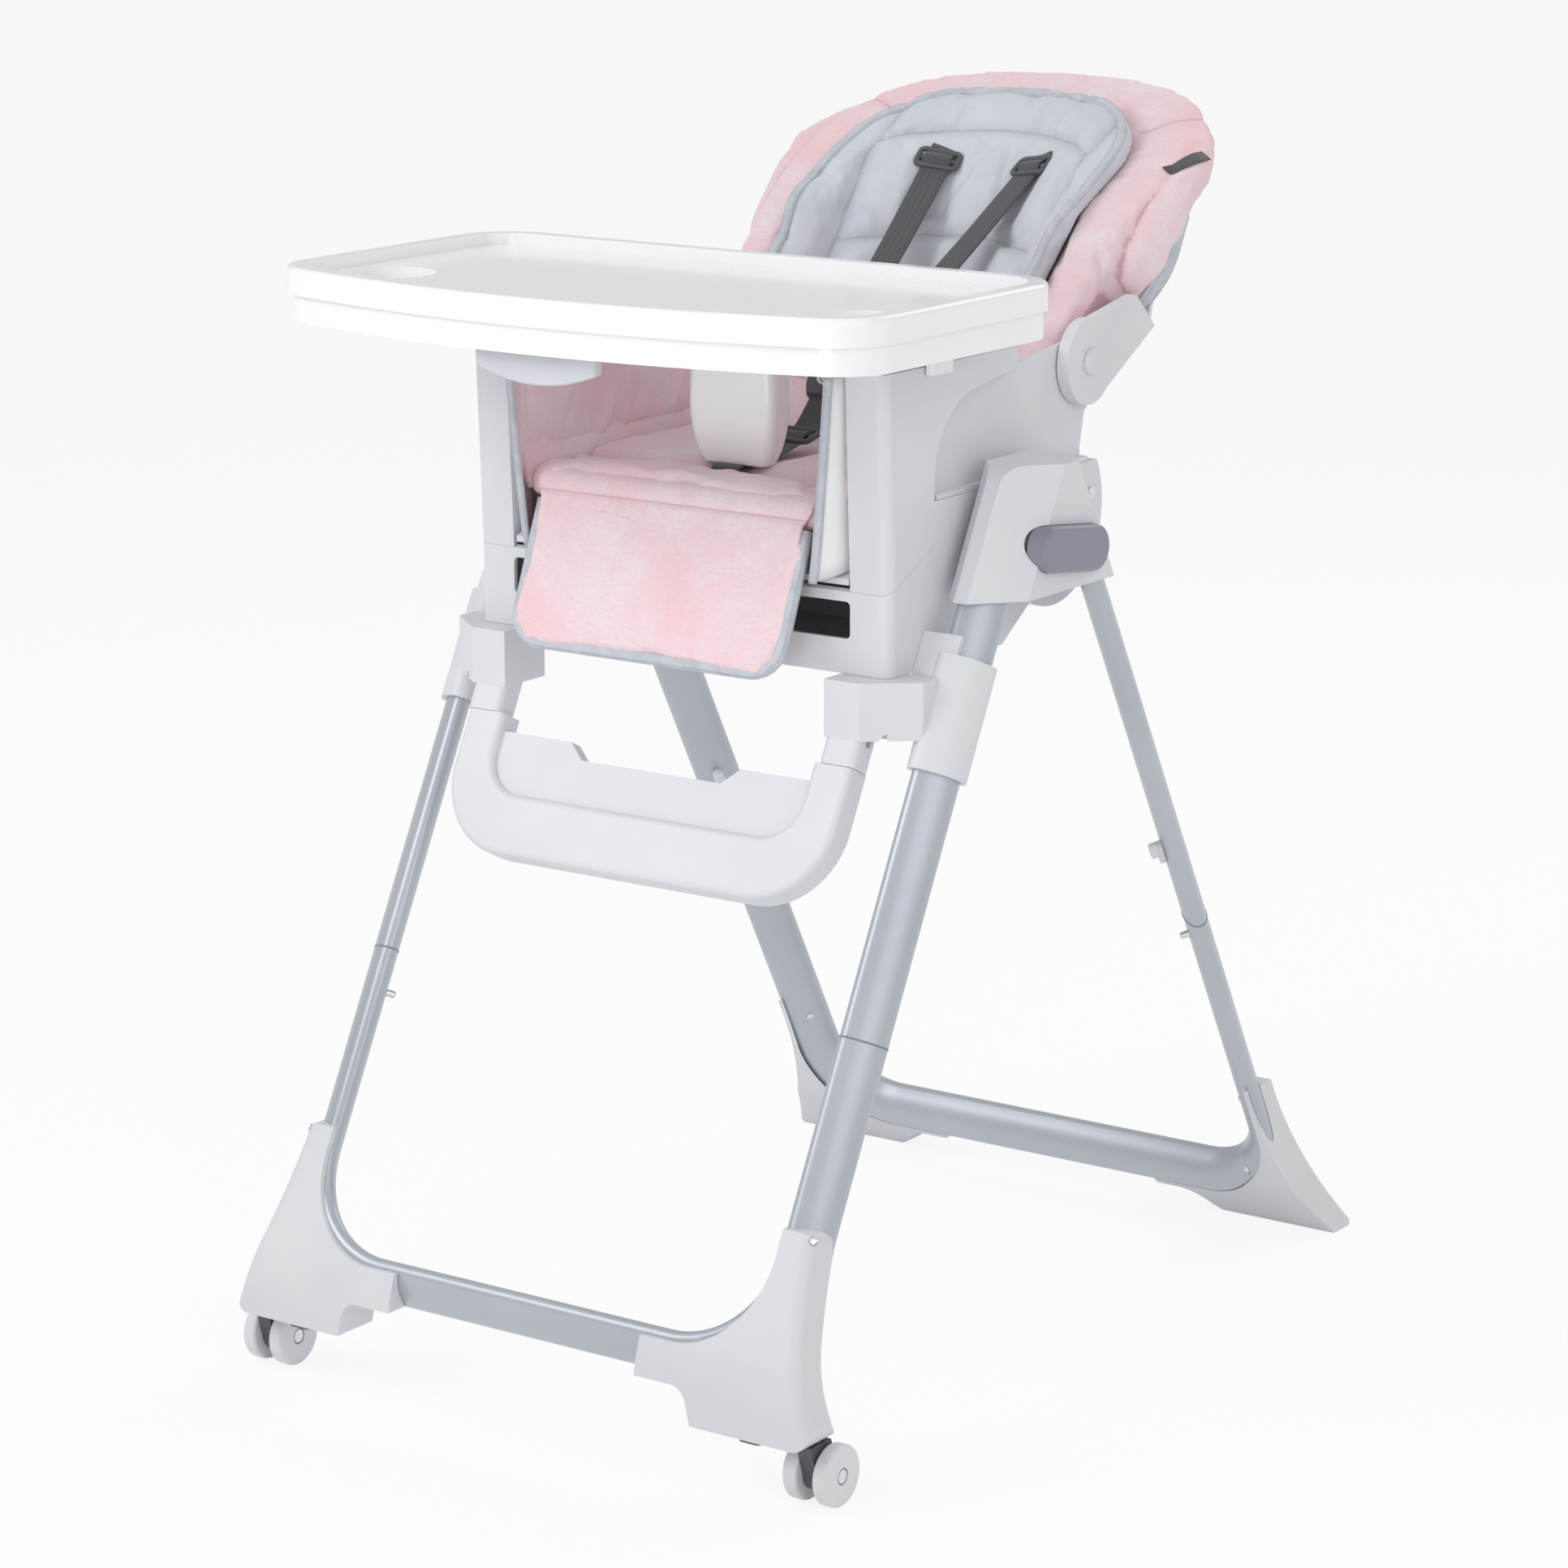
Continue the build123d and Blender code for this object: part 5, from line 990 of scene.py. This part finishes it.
crotchStrap = {"width": 0.027, "thick": 0.0018, "foot": 0.001, "lift": 0.002,
               "run": [(-0.023, -0.006), (-0.018, 0.0008), (0.004, 0.0016), (0.030, 0.0018),
                       (0.062, 0.0075), (0.095, 0.0165), (0.120, 0.038)]}


def makeCrotchStrap():
    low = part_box("crotch_strap")[0]
    foot = low.z + crotchStrap["foot"]
    run = smoothRun([Vector((0, low.y + y, foot + z)) for y, z in crotchStrap["run"]], 10)
    faces = []
    for k, point in enumerate(run):
        ahead = (run[min(k + 1, len(run) - 1)] - run[max(k - 1, 0)]).normalized()
        faces.append(Vector((1, 0, 0)).cross(ahead))
    piece = sweepBand("crotchStrap", run, faces, crotchStrap["width"], crotchStrap["thick"],
                      "dark_webbing", "seat", **flatCut)
    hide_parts("crotch_strap")
    low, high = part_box("strap_adjuster")
    centre = (low + high) / 2
    place = min(range(len(run)), key=lambda k: (run[k] - centre).length)
    along = (run[place + 1] - run[place - 1]).normalized()
    makeLadder("adjuster", centre + faces[place] * crotchStrap["lift"], faces[place], along,
               slides["adjusterHigh"], "seat", ["strap_adjuster"])


makeCrotchStrap()

buckleTrim = {"ring": 0.0108, "wire": 0.0030, "lift": 0.0008, "steps": 28,
              "face": Vector((0, -0.664, 0.747)).normalized()}


def makeBuckleTrim():
    # a bright ring round the release button
    low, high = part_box("buckle_button")
    centre = (low + high) / 2
    face = buckleTrim["face"]
    across = Vector((1, 0, 0))
    up = face.cross(across)
    turns = [2 * math.pi * k / buckleTrim["steps"] for k in range(buckleTrim["steps"])]
    middle, ring, wire = centre + face * buckleTrim["lift"], buckleTrim["ring"], buckleTrim["wire"]
    loop = [middle + (across * math.cos(a) + up * math.sin(a)) * ring for a in turns]
    sweepBand("buckleRing", loop, [face] * len(loop), wire, wire, "chrome_pin", "seat", closed=True)


makeBuckleTrim()
print("harness made")

# Screw heads on the feet and the joint lines of the tubes
screws = {"front_frame": [((0.2538, -0.3724, 0.2022), (0.757, -0.538, 0.37))],
          "rear_frame": [((0.2337, 0.3292, 0.1346), (-0.746, -0.582, -0.324)),
                         ((0.2229, 0.3649, 0.0571), (-0.348, -0.928, -0.136))]}
screwHead = {"radius": 0.0042, "top": 0.0034, "height": 0.0020, "socket": 0.0014, "depth": 0.0009,
             "segments": 24}


def makeScrews():
    for body, places in screws.items():
        bm = bmesh.new()
        for side in (-1, 1):
            for place, normal in places:
                before = set(bm.verts)
                made = bmesh.ops.create_cone(
                    bm, cap_ends=True, segments=screwHead["segments"], radius1=screwHead["radius"],
                    radius2=screwHead["top"], depth=screwHead["height"])["verts"]
                top = max({f for v in made for f in v.link_faces}, key=lambda f: f.calc_center_median().z)
                bmesh.ops.inset_region(bm, faces=[top], thickness=screwHead["socket"])
                bmesh.ops.translate(bm, verts=top.verts, vec=(0, 0, -screwHead["depth"]))
                turn = Vector((normal[0] * side, *normal[1:])).to_track_quat("Z", "Y").to_matrix().to_4x4()
                turn.translation = Vector((place[0] * side, *place[1:]))
                bmesh.ops.transform(bm, matrix=turn, verts=[v for v in bm.verts if v not in before])
        bmesh.ops.recalc_face_normals(bm, faces=bm.faces)
        piece = pieceFrom(bm, body + "Screws", "chrome_pin")
        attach(piece, body)


makeScrews()

tubeSeams = {"front_base_tube": "front_frame", "rear_base_tube": "rear_frame"}
seamRing = {"wide": 0.0016, "thick": 0.0011, "in": 0.0009}


def cutLoops(node, point, normal):
    # ordered loops of the points where a plane cuts a node
    bm = mergedFrom(node)
    whole = bm.verts[:] + bm.edges[:] + bm.faces[:]
    cut = bmesh.ops.bisect_plane(bm, geom=whole, plane_co=point, plane_no=normal)["geom_cut"]
    ring = dict.fromkeys(g for g in cut if isinstance(g, bmesh.types.BMEdge))
    loops = []
    while ring:
        edge = next(iter(ring))
        ring.pop(edge)
        start, here = edge.verts
        loop = [start.co.copy(), here.co.copy()]
        while here is not start:
            step = next((e for e in here.link_edges if e in ring), None)
            if step is None:
                break
            ring.pop(step)
            here = step.other_vert(here)
            if here is not start:
                loop.append(here.co.copy())
        loops.append(loop)
    bm.free()
    return loops


def makeTubeSeams():
    for node, body in tubeSeams.items():
        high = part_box(node)[1]
        for side, name in ((-1, "Left"), (1, "Right")):
            middles = []
            for drop in (0.10, 0.04):
                level = cutLoops(node, (0, 0, high.z - drop), (0, 0, 1))
                loop = max((l for l in level if l[0].x * side > 0), key=len)
                middles.append((min(loop, key=lambda p: p.y) + max(loop, key=lambda p: p.y)) / 2)
            along = (middles[1] - middles[0]).normalized()
            ours = [v.co for v in nodes[node].data.vertices if v.co.x * side > 0]
            reach = max((co - middles[1]).dot(along) for co in ours)
            end = cutLoops(node, middles[1] + along * (reach - seamRing["in"]), along)
            loops = [l for l in end if l[0].x * side > 0]
            loop = max(loops, key=lambda l: max((p - middles[1]).cross(along).length for p in l))
            centre = sum(loop, Vector()) / len(loop)
            faces = [(p - centre).normalized() for p in loop]
            sweepBand(node + "Seam" + name, loop, faces, seamRing["wide"], seamRing["thick"],
                      "button_grey", body, closed=True)


makeTubeSeams()
print("fasteners made")


# Stage, light and camera

ground = {"half": 45.0, "glow": 0.85}


def makeStage():
    bm = bmesh.new()
    bmesh.ops.create_grid(bm, x_segments=1, y_segments=1, size=ground["half"])
    floor = pieceFrom(bm, "floor")
    paper = Finish("paper", Roughness=0.9, Specular_IOR_Level=0.1)
    paper.feed({"Base Color": tone(250, 250, 250)})
    ray = paper.add("ShaderNodeLightPath")
    seen = ray.out("Is Camera Ray").higher(ray.out("Is Glossy Ray")).higher(ray.out("Is Transmission Ray"))
    glow = paper.add("ShaderNodeEmission", {}, {"Color": (1, 1, 1, 1), "Strength": 1.0})
    matt = Wire(paper, paper.shader.outputs[0])
    mixed = paper.add("ShaderNodeMixShader", {}, {0: seen * ground["glow"], 1: matt, 2: glow})
    paper.tree.links.new(mixed.socket, paper.output.inputs[0])
    floor.data.materials.append(paper.material)


skyPower = 0.58
lamps = {
    "key": {"place": (-1.6, -2.6, 3.0), "aim": (0, 0, 0.6), "size": 2.2, "power": 50, "spread": 180},
    "fill": {"place": (2.8, -1.4, 2.0), "aim": (0, 0, 0.6), "size": 2.4, "power": 19, "spread": 180},
    "rim": {"place": (0.6, 2.6, 2.6), "aim": (0, 0, 0.6), "size": 2.0, "power": 20, "spread": 180},
    "front": {"place": (0.6, -2.4, 0.86), "aim": (0, -0.1, 0.78), "size": 0.9, "power": 0.6, "spread": 40},
}


def makeLight():
    for name, lamp in lamps.items():
        light = bpy.data.lights.new(name, "AREA")
        light.energy = lamp["power"]
        light.size = lamp["size"]
        holder = bpy.data.objects.new(name, light)
        scene.collection.objects.link(holder)
        holder.location = lamp["place"]
        light.spread = math.radians(lamp["spread"])
        aim = Vector(lamp["aim"]) - Vector(lamp["place"])
        holder.rotation_euler = aim.to_track_quat("-Z", "Y").to_euler()
    world = bpy.data.worlds.new("studio")
    scene.world = world
    world.use_nodes = True
    tree = world.node_tree
    tree.nodes.clear()
    output = tree.nodes.new("ShaderNodeOutputWorld")
    sky = tree.nodes.new("ShaderNodeBackground")
    sky.inputs["Color"].default_value = (1, 1, 1, 1)
    sky.inputs["Strength"].default_value = skyPower
    tree.links.new(sky.outputs[0], output.inputs[0])


view = {"place": (2.2561, -3.2793, 1.4115), "back": (0.5576, -0.798, 0.2284), "lens": 110.4,
        "shift": (0.0009, -0.0146)}


def makeCamera():
    camera = bpy.data.cameras.new("camera")
    camera.sensor_width = 36.0
    camera.lens = view["lens"]
    camera.shift_x, camera.shift_y = view["shift"]
    camera.clip_end = 200.0
    holder = bpy.data.objects.new("camera", camera)
    scene.collection.objects.link(holder)
    holder.location = view["place"]
    holder.rotation_euler = (-Vector(view["back"])).to_track_quat("-Z", "Y").to_euler()
    scene.camera = holder


makeStage()
makeLight()
makeCamera()
scene.view_settings.view_transform = "Standard"
print("stage set")
